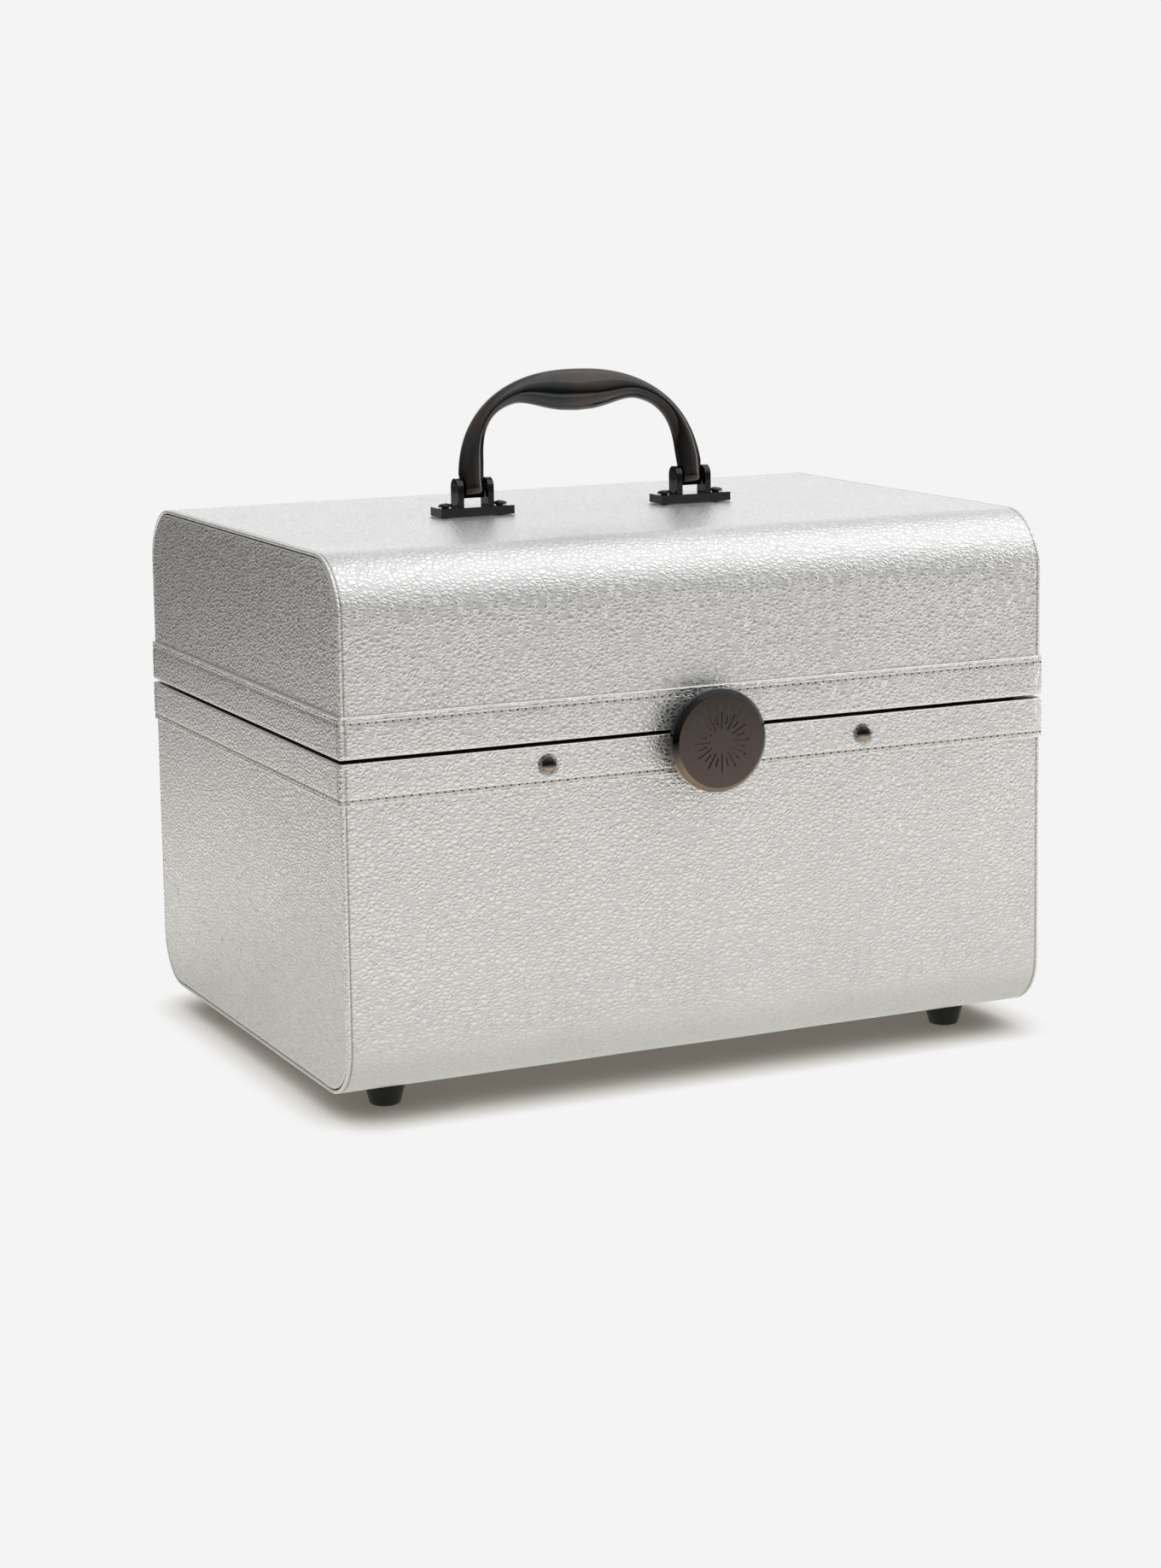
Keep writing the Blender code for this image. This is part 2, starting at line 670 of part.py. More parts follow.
# ---------------------------------------------------------------- handle
def superellipse(half_width, rise, power, angle):
    """A point on the upper half of a superellipse, angle 0 at its right end and pi at its left."""
    x = abs(cos(angle)) ** (2 / power) * half_width
    z = abs(sin(angle)) ** (2 / power) * rise
    return (x if cos(angle) >= 0 else -x), z - HANDLE_BASE_DROP


def handle_sections():
    """The arch's sections from right to left: centre, half thickness vector and half depth."""
    half_outer = (HANDLE_SPACING + HANDLE_LEG) / 2
    half_inner = (HANDLE_SPACING - HANDLE_LEG) / 2
    leg_half = HANDLE_LEG_DEPTH / 2
    grip_half = HANDLE_GRIP_DEPTH / 2
    tongue_half = HANDLE_TONGUE / 2
    sections = []

    foot = []
    for angle in (radians(-78), radians(-50), radians(-22), radians(8)):
        height = leg_half * sin(angle)
        foot.append((HANDLE_SPACING / 2, height, tongue_half, leg_half * cos(angle)))
    foot.append((HANDLE_SPACING / 2, EAR_RADIUS + FIT_GAP, tongue_half, leg_half))

    arch = []
    steps = HANDLE_STEPS
    for i in range(steps + 1):
        angle = pi * i / steps
        x_out, z_out = superellipse(half_outer, HANDLE_OUTER_RISE, HANDLE_OUTER_POWER, angle)
        x_in, z_in = superellipse(half_inner, HANDLE_INNER_RISE, HANDLE_INNER_POWER, angle)
        if abs(x_in) < HANDLE_GRIP_HALF:
            bell = (1 - (abs(x_in) / HANDLE_GRIP_HALF) ** HANDLE_GRIP_POWER) ** 2
        else:
            bell = 0.0
        z_in -= HANDLE_GRIP_SWELL * bell
        depth = leg_half + (grip_half - leg_half) * bell
        centre = ((x_out + x_in) / 2, (z_out + z_in) / 2)
        half = ((x_out - x_in) / 2, (z_out - z_in) / 2)
        arch.append((centre, half, depth))
    clear = EAR_RADIUS + 2 * EAR_CLEARANCE
    arch = [item for item in arch if item[0][1] - abs(item[1][1]) > clear]

    for x, height, half_x, depth in foot:
        sections.append(((x, height), (half_x, 0.0), depth))
    sections += arch
    for x, height, half_x, depth in reversed(foot):
        sections.append(((-x, height), (-half_x, 0.0), depth))
    return sections


def make_handle():
    """The arch, lofted through its sections, with a bore for each pivot pin."""
    mesh = bpy.data.meshes.new("handle")
    shape = bmesh.new()
    rings = []
    for (x, z), (half_x, half_z), depth in handle_sections():
        ring = []
        for i in range(HANDLE_RING):
            angle = 2 * pi * i / HANDLE_RING
            across = cos(angle)
            ring.append(shape.verts.new((x + half_x * across, depth * sin(angle), z + half_z * across)))
        rings.append(ring)
    for ring, following in zip(rings, rings[1:]):
        for i in range(HANDLE_RING):
            j = (i + 1) % HANDLE_RING
            shape.faces.new((ring[i], ring[j], following[j], following[i]))
    shape.faces.new(rings[0])
    shape.faces.new(rings[-1])
    bmesh.ops.recalc_face_normals(shape, faces=shape.faces)
    shape.to_mesh(mesh)
    shape.free()
    shade_round(mesh, 50)
    handle = add_piece("handle", mesh, "gunmetal", (0, 0, PIVOT_Z), handle_frame, (-HANDLE_LEAN, 0, 0))
    for side, sign in (("left", -1), ("right", 1)):
        bore = cylinder_mesh(f"handle_bore_{side}", PIN_RADIUS + FIT_GAP, 2 * HANDLE_LEG, HOLE_STEPS)
        place = (sign * HANDLE_SPACING / 2, 0, PIVOT_Z)
        combine(handle, add_cutter(bore.name, bore, place, (0, pi / 2, 0)))


def make_brackets():
    """A bracket under each leg: a plate with two ears, a pivot pin and two screws."""
    slot = HANDLE_TONGUE + 2 * EAR_CLEARANCE
    seat_z = TOP_Z + FIT_GAP
    plate_top = seat_z + BRACKET_PLATE
    overlap = BRACKET_PLATE / 2
    ear_outline = [(EAR_RADIUS, plate_top - overlap - PIVOT_Z)]
    ear_outline += arc((0, 0), EAR_RADIUS, 0, pi, CORNER_STEPS * 2)
    ear_outline += [(-EAR_RADIUS, plate_top - overlap - PIVOT_Z)]
    screw_x = (slot / 2 + EAR_THICK + BRACKET_LENGTH / 2) / 2
    length = BRACKET_PLATE + FIT_GAP + WRAP_LEATHER + FIT_GAP + BOARD_GRIP
    pin_half = slot / 2 + EAR_THICK + PIVOT_PIN_STAND
    pin_profile = [
        (0, pin_half),
        (PIN_RADIUS * 0.7, pin_half),
        (PIN_RADIUS, pin_half - PIN_RADIUS * 0.3),
        (PIN_RADIUS, -pin_half + PIN_RADIUS * 0.3),
        (PIN_RADIUS * 0.7, -pin_half),
        (0, -pin_half),
    ]
    for side, sign in (("left", -1), ("right", 1)):
        x = sign * HANDLE_SPACING / 2
        name = f"handle_bracket_{side}"
        half = (BRACKET_LENGTH / 2, BRACKET_WIDTH / 2)
        plate = box_mesh(name, (-half[0], -half[1], seat_z - PIVOT_Z), (*half, plate_top - PIVOT_Z))
        bracket = add_piece(name, plate, "gunmetal", (x, 0, PIVOT_Z), lid_frame)
        for ear, ear_sign in (("outer", sign), ("inner", -sign)):
            ear_name = f"{name}_{ear}_ear"
            mesh = outline_mesh(ear_name, [ear_outline], EAR_THICK, FACE_X)
            ear_x = x + ear_sign * (slot + EAR_THICK) / 2
            combine(bracket, add_cutter(ear_name, mesh, (ear_x, 0, PIVOT_Z)), "UNION")
        bore = cylinder_mesh(f"{name}_bore", PIN_RADIUS + FIT_GAP, 2 * BRACKET_LENGTH, HOLE_STEPS)
        combine(bracket, add_cutter(bore.name, bore, (x, 0, PIVOT_Z), (0, pi / 2, 0)))
        pin_name = f"handle_pivot_pin_{side}"
        pin = add_piece(
            pin_name, profile_mesh(pin_name, pin_profile), "gunmetal", (x, 0, PIVOT_Z),
            lid_frame, (0, pi / 2, 0),
        )
        turn(pin, HOLE_STEPS)
        for end, end_sign in (("outer", sign), ("inner", -sign)):
            fasten(
                f"bracket_screw_{side}_{end}", BRACKET_SCREW, "gunmetal",
                (x + end_sign * screw_x, 0, plate_top), (0, 0, 1),
                length, (bracket, lid_leather, lid_board), lid_frame,
            )


# ---------------------------------------------------------------- latch
def make_latch():
    """Housing and turn knob on the lid, cam on the knob's spindle, keeper on the base."""
    housing = make_latch_housing()
    seat_y = LATCH_BACK_Y - HOUSING_DEPTH + LATCH_SCREW[1] + COUNTERBORE_CLEARANCE + FIT_GAP
    screw_ring = (POCKET_RADIUS + HOUSING_RADIUS) / 2
    length = seat_y - LATCH_BACK_Y
    length = abs(length) + LATCH_STANDOFF + BAND_PROUD + WRAP_LEATHER + FIT_GAP + BOARD_GRIP
    for side, angle in (("left", radians(130)), ("right", radians(50))):
        seat = (screw_ring * cos(angle), seat_y, LATCH_Z + screw_ring * sin(angle))
        fasten(
            f"latch_screw_{side}", LATCH_SCREW, "steel", seat, (0, -1, 0),
            length, (housing, lid_band, lid_leather, lid_board), lid_frame, COUNTERBORE_CLEARANCE,
        )
    make_latch_knob()
    make_latch_cam()
    make_latch_keeper()


def make_latch_housing():
    circle = arc((0, 0), HOUSING_RADIUS, 0, 2 * pi, PUCK_STEPS)[:-1]
    mesh = outline_mesh("latch_housing", [circle], HOUSING_DEPTH, FACE_Y)
    middle = (0, LATCH_BACK_Y - HOUSING_DEPTH / 2, LATCH_Z)
    housing = add_piece("latch_housing", mesh, "gunmetal", middle, lid_frame)
    pocket = cylinder_mesh("latch_pocket", POCKET_RADIUS, 3 * HOUSING_DEPTH, ROUND_STEPS * 2)
    combine(housing, add_cutter("latch_pocket", pocket, middle, (pi / 2, 0, 0)))
    half = KEEPER_WIDTH / 2 + KEEPER_CLEARANCE
    slot = box_mesh(
        "latch_slot", (-half, -2 * HOUSING_DEPTH, -2 * LATCH_RADIUS), (half, 2 * HOUSING_DEPTH, -POCKET_RADIUS / 2)
    )
    combine(housing, add_cutter("latch_slot", slot, middle))
    return housing


def make_latch_knob():
    """A bevelled disc with its spindle behind it, turned about the latch's axis."""
    spindle_end = LATCH_BACK_Y + LATCH_STANDOFF - FIT_GAP
    depth = spindle_end - KNOB_BACK_Y
    profile = [
        (0, KNOB_DEPTH),
        (LATCH_RADIUS - KNOB_BEVEL, KNOB_DEPTH),
        (LATCH_RADIUS, KNOB_DEPTH - KNOB_BEVEL),
        (LATCH_RADIUS, 0),
        (SPINDLE_RADIUS, 0),
        (SPINDLE_RADIUS, -depth),
        (0, -depth),
    ]
    mesh = profile_mesh("latch_knob", profile)
    knob = add_piece("latch_knob", mesh, "satin_gunmetal", (0, KNOB_BACK_Y, LATCH_Z), latch_frame, (pi / 2, 0, 0))
    turn(knob, PUCK_STEPS)


def make_latch_cam():
    """A hook on the spindle: an arm, and an arc that swings under the keeper's tongue."""
    arm = radians(90) - asin(KEEPER_THICK / CAM_INNER_RADIUS) - CAM_ARM_MARGIN
    tip = arm - CAM_SWEEP
    inner = arc((0, 0), CAM_INNER_RADIUS, tip, arm - CAM_ARM_SPREAD, CORNER_STEPS * 2)
    outer = arc((0, 0), CAM_OUTER_RADIUS, arm + CAM_ARM_SPREAD, tip, CORNER_STEPS * 2)
    half = CAM_ARM_WIDTH / 2
    spread = asin(half / CAM_HUB_RADIUS)
    hub = arc((0, 0), CAM_HUB_RADIUS, arm + spread, arm - spread + 2 * pi, ROUND_STEPS)
    outline = hub + list(reversed(inner)) + list(reversed(outer))
    hole = arc((0, 0), SPINDLE_RADIUS + FIT_GAP, 0, 2 * pi, HOLE_STEPS)[:-1]
    mesh = outline_mesh("latch_cam", [outline, hole], CAM_THICK, FACE_Y)
    middle = (0, -BAND_Y - CAM_CLEARANCE - CAM_THICK / 2, LATCH_Z)
    add_piece("latch_cam", mesh, "steel", middle, latch_frame)


def make_latch_keeper():
    """A tongue that stands out of the base's band, on a flange let into the board behind it."""
    top = LATCH_Z - KEEPER_DROP + KEEPER_THICK / 2
    low = top - KEEPER_THICK
    half = KEEPER_WIDTH / 2
    flange_front = -HALF_DEPTH + BOARD_INSET
    flange_back = flange_front + KEEPER_FLANGE_THICK
    middle_z = (top + low) / 2
    at = Vector((0, flange_front, middle_z))
    flange_half = (KEEPER_FLANGE_LENGTH / 2, KEEPER_FLANGE_HEIGHT / 2)
    flange_low = Vector((-flange_half[0], flange_front, middle_z - flange_half[1]))
    flange_high = Vector((flange_half[0], flange_back, middle_z + flange_half[1]))
    tongue_low = Vector((-half, -BAND_Y - KEEPER_REACH, low))
    tongue_high = Vector((half, (flange_front + flange_back) / 2, top))
    grow = Vector((FIT_GAP, FIT_GAP, FIT_GAP))

    keeper = add_piece(
        "latch_keeper", box_mesh("latch_keeper", flange_low - at, flange_high - at), "steel", at, base_frame
    )
    tongue = box_mesh("keeper_tongue", tongue_low, tongue_high)
    combine(keeper, add_cutter("keeper_tongue", tongue, (0, 0, 0)), "UNION")

    slot = box_mesh("keeper_slot", tongue_low - grow, tongue_high + grow)
    slot_cutter = add_cutter("keeper_slot", slot, (0, 0, 0))
    combine(base_band, slot_cutter)
    combine(base_leather, slot_cutter)
    pocket_low = flange_low - grow - Vector((0, KEEPER_FLANGE_THICK, 0))
    pocket = box_mesh("keeper_pocket", pocket_low, flange_high + grow)
    combine(base_board, add_cutter("keeper_pocket", pocket, (0, 0, 0)))


# ---------------------------------------------------------------- hinges and rivets
def leaf_outline(is_lid):
    """A leaf and its knuckle seen along the pin: y and z from the pin's axis."""
    radius = HINGE_KNUCKLE_RADIUS
    meet = acos((HINGE_LEAF_THICK - radius) / radius)
    outline = [(-radius, -HINGE_LEAF_HEIGHT)]
    outline += arc((0, 0), radius, pi, -meet, ROUND_STEPS)
    outline.append((HINGE_LEAF_THICK - radius, -HINGE_LEAF_HEIGHT))
    if is_lid:
        outline = [(y, -z) for y, z in outline]
    return outline


def make_hinges():
    """Two butt hinges: the base's leaf has the outer knuckles, the lid's leaf the middle one."""
    hole = arc((0, 0), HINGE_PIN_RADIUS + FIT_GAP, 0, 2 * pi, HOLE_STEPS)[:-1]
    half = HINGE_LENGTH / 2
    middle = HINGE_MIDDLE_KNUCKLE / 2
    past = HINGE_CLEAR
    outer_notches = ((-half - past, -middle), (middle, half + past))
    middle_notch = ((-middle - FIT_GAP, middle + FIT_GAP),)
    leaves = (
        ("base", False, middle_notch, base_frame, (base_band, base_leather, base_board)),
        ("lid", True, outer_notches, lid_frame, (lid_band, lid_leather, lid_board)),
    )
    screw_length = HINGE_LEAF_THICK + FIT_GAP + BAND_PROUD + WRAP_LEATHER + FIT_GAP + BOARD_GRIP
    screw_z = (HINGE_CLEAR + HINGE_LEAF_HEIGHT) / 2
    pin_end = half + FIT_GAP
    head = HINGE_KNUCKLE_RADIUS * 0.8
    pin_profile = [
        (0, pin_end + HINGE_PIN_HEAD),
        (head * 0.6, pin_end + HINGE_PIN_HEAD * 0.9),
        (head, pin_end + HINGE_PIN_HEAD_RIM),
        (head, pin_end),
        (HINGE_PIN_RADIUS, pin_end),
        (HINGE_PIN_RADIUS, -pin_end),
        (head, -pin_end),
        (head, -pin_end - HINGE_PIN_HEAD_RIM),
        (head * 0.6, -pin_end - HINGE_PIN_HEAD * 0.9),
        (0, -pin_end - HINGE_PIN_HEAD),
    ]
    for side, sign in (("left", -1), ("right", 1)):
        x = sign * HINGE_SPACING / 2
        place = (x, HINGE_Y, PARTING_Z)
        for half_name, is_lid, notches, parent, through in leaves:
            name = f"hinge_leaf_{half_name}_{side}"
            mesh = outline_mesh(name, [leaf_outline(is_lid), hole], HINGE_LENGTH, FACE_X)
            leaf = add_piece(name, mesh, "gunmetal", place, parent)
            for i, (x_low, x_high) in enumerate(notches):
                z_low, z_high = (-2 * past, past) if is_lid else (-past, 2 * past)
                notch = box_mesh(f"{name}_notch_{i + 1}", (x_low, -2 * past, z_low), (x_high, 2 * past, z_high))
                combine(leaf, add_cutter(notch.name, notch, place))
            direction = 1 if is_lid else -1
            for end, end_sign in (("a", -1), ("b", 1)):
                seat_y = BAND_Y + FIT_GAP + HINGE_LEAF_THICK
                seat = (x + end_sign * HINGE_SCREW_SPACING / 2, seat_y, PARTING_Z + direction * screw_z)
                fasten(
                    f"hinge_screw_{half_name}_{side}_{end}", HINGE_SCREW, "gunmetal", seat,
                    (0, 1, 0), screw_length, (leaf, *through), parent,
                )
        name = f"hinge_pin_{side}"
        pin = add_piece(name, profile_mesh(name, pin_profile), "gunmetal", place, base_frame, (0, pi / 2, 0))
        turn(pin, HOLE_STEPS)


def make_rivets():
    """Two domed rivets through the base's band."""
    sizes = (RIVET_HEAD_RADIUS, RIVET_HEAD_HEIGHT, RIVET_SHANK_RADIUS)
    length = BAND_PROUD + WRAP_LEATHER + FIT_GAP + BOARD_GRIP
    for side, sign in (("left", -1), ("right", 1)):
        seat = (sign * RIVET_SPACING / 2, -BAND_Y, PARTING_Z - RIVET_BELOW_PARTING)
        fasten(
            f"band_rivet_{side}", sizes, "gunmetal", seat, (0, -1, 0),
            length, (base_band, base_leather, base_board), base_frame,
        )


# ---------------------------------------------------------------- assembly
case_frame = add_frame("case_frame", (0, 0, 0))
case_frame.location = (0, CASE_Y, 0)
base_frame = add_frame("base_frame", (0, 0, 0), case_frame)
lid_frame = add_frame("lid_frame", (0, HINGE_Y, PARTING_Z), case_frame)
tray_frame = add_frame("tray_frame", (0, 0, LEDGE_TOP_Z), base_frame)
handle_frame = add_frame("handle_frame", (0, 0, PIVOT_Z), lid_frame)
latch_frame = add_frame("latch_frame", (0, KNOB_BACK_Y, LATCH_Z), lid_frame)

base_board, base_leather, base_band = make_half("base", False, base_frame)
lid_board, lid_leather, lid_band = make_half("lid", True, lid_frame)
make_feet()
make_rim_frame()
make_tray()
make_mirror()
make_handle()
make_brackets()
make_latch()
make_hinges()
make_rivets()
bpy.context.view_layer.update()
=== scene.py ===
"""Looks of the makeup train case: silver pebbled leather, stitched bands, gunmetal fittings.

Metres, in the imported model's frame: +X right, -Y front, +Z up, the ground at z = 0.
"""

import json
from math import cos, exp, pi, radians, sin

import bmesh
import bpy
from mathutils import Matrix, Vector, noise

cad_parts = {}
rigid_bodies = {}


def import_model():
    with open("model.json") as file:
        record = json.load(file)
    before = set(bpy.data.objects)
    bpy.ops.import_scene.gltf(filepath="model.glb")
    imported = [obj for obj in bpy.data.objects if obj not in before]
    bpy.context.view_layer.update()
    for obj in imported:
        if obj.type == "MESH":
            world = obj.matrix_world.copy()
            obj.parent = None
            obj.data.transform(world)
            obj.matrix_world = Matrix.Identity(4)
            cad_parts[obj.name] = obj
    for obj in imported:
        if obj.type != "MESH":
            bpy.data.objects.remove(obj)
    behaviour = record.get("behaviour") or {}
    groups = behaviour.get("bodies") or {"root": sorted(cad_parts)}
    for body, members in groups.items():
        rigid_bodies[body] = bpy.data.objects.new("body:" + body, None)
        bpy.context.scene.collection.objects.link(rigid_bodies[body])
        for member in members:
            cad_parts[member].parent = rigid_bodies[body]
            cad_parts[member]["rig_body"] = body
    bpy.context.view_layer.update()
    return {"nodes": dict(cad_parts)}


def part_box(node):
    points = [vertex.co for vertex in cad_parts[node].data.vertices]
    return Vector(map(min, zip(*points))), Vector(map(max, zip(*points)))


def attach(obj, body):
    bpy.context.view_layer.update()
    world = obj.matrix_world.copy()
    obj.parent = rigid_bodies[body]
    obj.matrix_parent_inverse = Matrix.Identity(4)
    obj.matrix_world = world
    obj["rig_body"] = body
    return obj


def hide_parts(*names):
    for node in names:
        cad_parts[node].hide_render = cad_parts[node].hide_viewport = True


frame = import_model()
NODES = frame["nodes"]
MM = 0.001

# ---------------------------------------------------------------- sizes, from the frame and the design
lid_low, lid_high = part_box("lid_wrap_leather")
base_low, base_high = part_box("base_wrap_leather")
CASE_Y = (lid_low.y + lid_high.y) / 2
HALF_WIDTH = lid_high.x
HALF_DEPTH = (lid_high.y - lid_low.y) / 2
TOP_Z = lid_high.z
BOTTOM_Z = base_low.z
LID_MOUTH_Z = lid_low.z
BASE_MOUTH_Z = base_high.z
PARTING_Z = (LID_MOUTH_Z + BASE_MOUTH_Z) / 2

TOP_RADIUS = 23.2 * MM
BOTTOM_RADIUS = 21 * MM
WRAP_THICK = 1.5 * MM
END_THICK = 1.2 * MM
END_GROOVE = 0.5 * MM
BAND_WIDTH = 16 * MM
BAND_PROUD = 1.0 * MM
WALL = 7 * MM
FINE = 6 * MM

CORNER_RADIUS = 0.4 * MM
EDGE_ROLL = 0.7 * MM
TURN_IN_SKIN = 0.08 * MM
WRAP_CREASE = (1.55 * MM, 0.35 * MM)
WRAP_CREASE_DEPTH = 0.16 * MM
BAND_CREASE = (0.9 * MM, 0.6 * MM)
BAND_CREASE_DEPTH = 0.14 * MM

LID_STITCH_DROP = 2.8 * MM
BASE_STITCH_DROP = 2.2 * MM
STITCH_PITCH = 3.3 * MM
THREAD_RADIUS = 0.32 * MM
HOLE_RADIUS = 0.42 * MM
RIVET_PRESS = 2.8 * MM

LINING_THICK = 1.0 * MM
LINING_FOLD = 3.0 * MM

HANDLE_SPACING = 98.4 * MM
HANDLE_LEG = 11 * MM
HANDLE_OUTER = (47.4 * MM, 2.29)
HANDLE_INNER = (35.5 * MM, 4.0)
HANDLE_BASE_DROP = 1.2 * MM
HANDLE_LEG_HALF = 4.5 * MM
HANDLE_GRIP_HALF_DEPTH = 6.75 * MM
HANDLE_SWELL = 5.4 * MM
HANDLE_GRIP_HALF = 28.5 * MM
HANDLE_GRIP_POWER = 2.3
HANDLE_TONGUE_HALF = 4.9 * MM
HANDLE_LEAN = radians(10)
PIVOT = Vector((0, CASE_Y, TOP_Z + 11.5 * MM))

# Which leather node each fine piece stands for.
NODES_FOR = {
    "lid_wrap": "lid_wrap_leather",
    "base_wrap": "base_wrap_leather",
    "lid_band": "lid_binding_band",
    "base_band": "base_binding_band",
    "lid_end_left": "lid_end_leather_left",
    "lid_end_right": "lid_end_leather_right",
    "base_end_left": "base_end_leather_left",
    "base_end_right": "base_end_leather_right",
}

# ---------------------------------------------------------------- looks
WARP_SCALE = 240.0
WARP_REACH = 2.2 * MM
PEBBLE_SCALE = 680.0
PEBBLE_STRETCH = (0.62, 0.62, 1.0)
FINE_GRAIN_SCALE = 1700.0
MOTTLE_SCALE = 26.0
GRAIN_DEPTH = 0.135 * MM
DIMPLE_DEPTH = 0.7 * MM
DIMPLE_FADE = 1.7
CREASE_TO_PEBBLE = (0.04, 0.32)
FOIL_IN_CREASE = (0.765, 0.765, 0.765)
FOIL_ON_PEBBLE = (0.845, 0.843, 0.839)
# Scuffed edges, lighter with a painted highlight.
FOIL_RUBBED_AND_PAINTED_HIGHLIGHT = (0.95, 0.945, 0.93)
# Painted shade in creases, gaps and on the turn-in.
PAINTED_GAP_AND_CREASE_SHADE = (0.20, 0.175, 0.15)
FOIL_METALLIC = (0.55, 0.93)
FOIL_ROUGHNESS = (0.42, 0.30)
POLISHING_STRETCH = (40, 400, 400)
BRUSHING_STRETCH = (60, 60, 900)


# ---------------------------------------------------------------- mesh helpers
def grid_mesh(name, rows, close_rows=False, close_columns=True, caps=True):
    """Quads between rows of points. Rows are rings when close_columns is set."""
    mesh = bpy.data.meshes.new(name)
    shape = bmesh.new()
    made = [[shape.verts.new(point) for point in row] for row in rows]
    pairs = list(zip(made, made[1:]))
    if close_rows:
        pairs.append((made[-1], made[0]))
    count = len(made[0])
    last = count if close_columns else count - 1
    for row, following in pairs:
        for i in range(last):
            j = (i + 1) % count
            shape.faces.new((row[i], row[j], following[j], following[i]))
    if caps and not close_rows:
        shape.faces.new(made[0])
        shape.faces.new(list(reversed(made[-1])))
    bmesh.ops.recalc_face_normals(shape, faces=shape.faces)
    shape.to_mesh(mesh)
    shape.free()
    return mesh


def turned_mesh(name, profile, steps):
    """A turned solid about Z from (radius, height) points that start and end on the axis."""
    mesh = bpy.data.meshes.new(name)
    shape = bmesh.new()
    poles = (shape.verts.new((0, 0, profile[0][1])), shape.verts.new((0, 0, profile[-1][1])))
    rings = []
    for radius, height in profile[1:-1]:
        ring = []
        for i in range(steps):
            angle = 2 * pi * i / steps
            ring.append(shape.verts.new((radius * cos(angle), radius * sin(angle), height)))
        rings.append(ring)
    for ring, following in zip(rings, rings[1:]):
        for i in range(steps):
            j = (i + 1) % steps
            shape.faces.new((ring[i], ring[j], following[j], following[i]))
    for pole, ring in zip(poles, (rings[0], rings[-1])):
        for i in range(steps):
            shape.faces.new((pole, ring[i], ring[(i + 1) % steps]))
    bmesh.ops.recalc_face_normals(shape, faces=shape.faces)
    shape.to_mesh(mesh)
    shape.free()
    return mesh


def round_corner(middle, radius, start, stop, steps=5):
    """Points on an arc, angles in degrees."""
    points = []
    for i in range(steps + 1):
        angle = radians(start + (stop - start) * i / steps)
        points.append((middle[0] + radius * cos(angle), middle[1] + radius * sin(angle)))
    return points


def smooth(mesh, angle=40):
    mesh.shade_smooth()
    mesh.set_sharp_from_angle(angle=radians(angle))


def spread(start, stop, step):
    """Evenly spaced values from start to stop, no further apart than step, without the last one."""
    count = max(1, int(abs(stop - start) / step + 0.999))
    return [start + (stop - start) * i / count for i in range(count)]


def add_piece(name, mesh, material, body, replaces=(), matrix=None, sharp=40):
    piece = bpy.data.objects.new(name, mesh)
    bpy.context.scene.collection.objects.link(piece)
    if matrix is not None:
        piece.matrix_world = matrix
    if not mesh.materials:
        mesh.materials.append(material)
        smooth(mesh, sharp)
    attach(piece, body)
    if replaces:
        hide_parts(*replaces)
    return piece


def set_wear_and_painted_light(mesh, values):
    """Scuffing with a painted highlight above zero, and painted shade in creases and gaps under zero, for the
    leather's colour.
    """
    layer = mesh.attributes.new("wear_and_painted_light", "FLOAT", "POINT")
    layer.data.foreach_set("value", values)


def crease(distance, place, width):
    """The pressed line that runs beside a folded edge, 1 at its middle."""
    return exp(-(((distance - place) / width) ** 2))


def rubbed_and_painted_highlight(distance):
    """How scuffed the leather is at a distance from an edge, with a painted highlight along that edge."""
    return max(0.0, 1.0 - distance / (1.5 * MM))


def closer_to_ends(half, step):
    """Positions from -half to half, close together beside each end for its crease."""
    near = [d * MM for d in (0.0, 0.3, 0.6, 0.9, 1.2, 1.5, 2.0, 2.7, 3.6, 5.0)]
    inner = half - near[-1]
    middle = spread(-inner, inner, step)
    return [-half + d for d in near[:-1]] + middle + [inner] + [half - d for d in reversed(near[:-1])]


def wave(point, size, amount):
    """A soft, repeatable unevenness."""
    return noise.noise(Vector(point) / size) * amount


# ---------------------------------------------------------------- material helpers
def add_node(tree, kind, inputs=None, **settings):
    node = tree.nodes.new("ShaderNode" + kind)
    for key, value in settings.items():
        setattr(node, key, value)
    set_inputs(tree, node, inputs or {})
    return node


def set_inputs(tree, node, inputs):
    for key, value in inputs.items():
        connect(tree, node.inputs[key], value)


def connect(tree, socket, value):
    if isinstance(value, bpy.types.NodeSocket):
        tree.links.new(value, socket)
    else:
        socket.default_value = value


def new_material(name, settings):
    """A material with even settings on its shader's own sockets."""
    material = bpy.data.materials.new(name)
    material.use_nodes = True
    tree = material.node_tree
    shader = tree.nodes["Principled BSDF"]
    set_inputs(tree, shader, settings)
    return material, tree, shader


def object_place(tree):
    return add_node(tree, "TexCoord").outputs["Object"]


def stretched(tree, place, scale):
    return add_node(tree, "Mapping", {"Vector": place, "Scale": scale}).outputs[0]


def vector_maths(tree, operation, first, second, output="Value"):
    return add_node(tree, "VectorMath", {0: first, 1: second}, operation=operation).outputs[output]


def ramp(tree, value, stops):
    """A colour ramp; stops are (position, grey or colour)."""
    node = add_node(tree, "ValToRGB", {"Fac": value})
    elements = node.color_ramp.elements
    while len(elements) < len(stops):
        elements.new(0.5)
    for element, (position, colour) in zip(elements, stops):
        element.position = position
        if isinstance(colour, (int, float)):
            colour = (colour, colour, colour)
        element.color = (*colour, 1.0)
    return node.outputs["Color"]


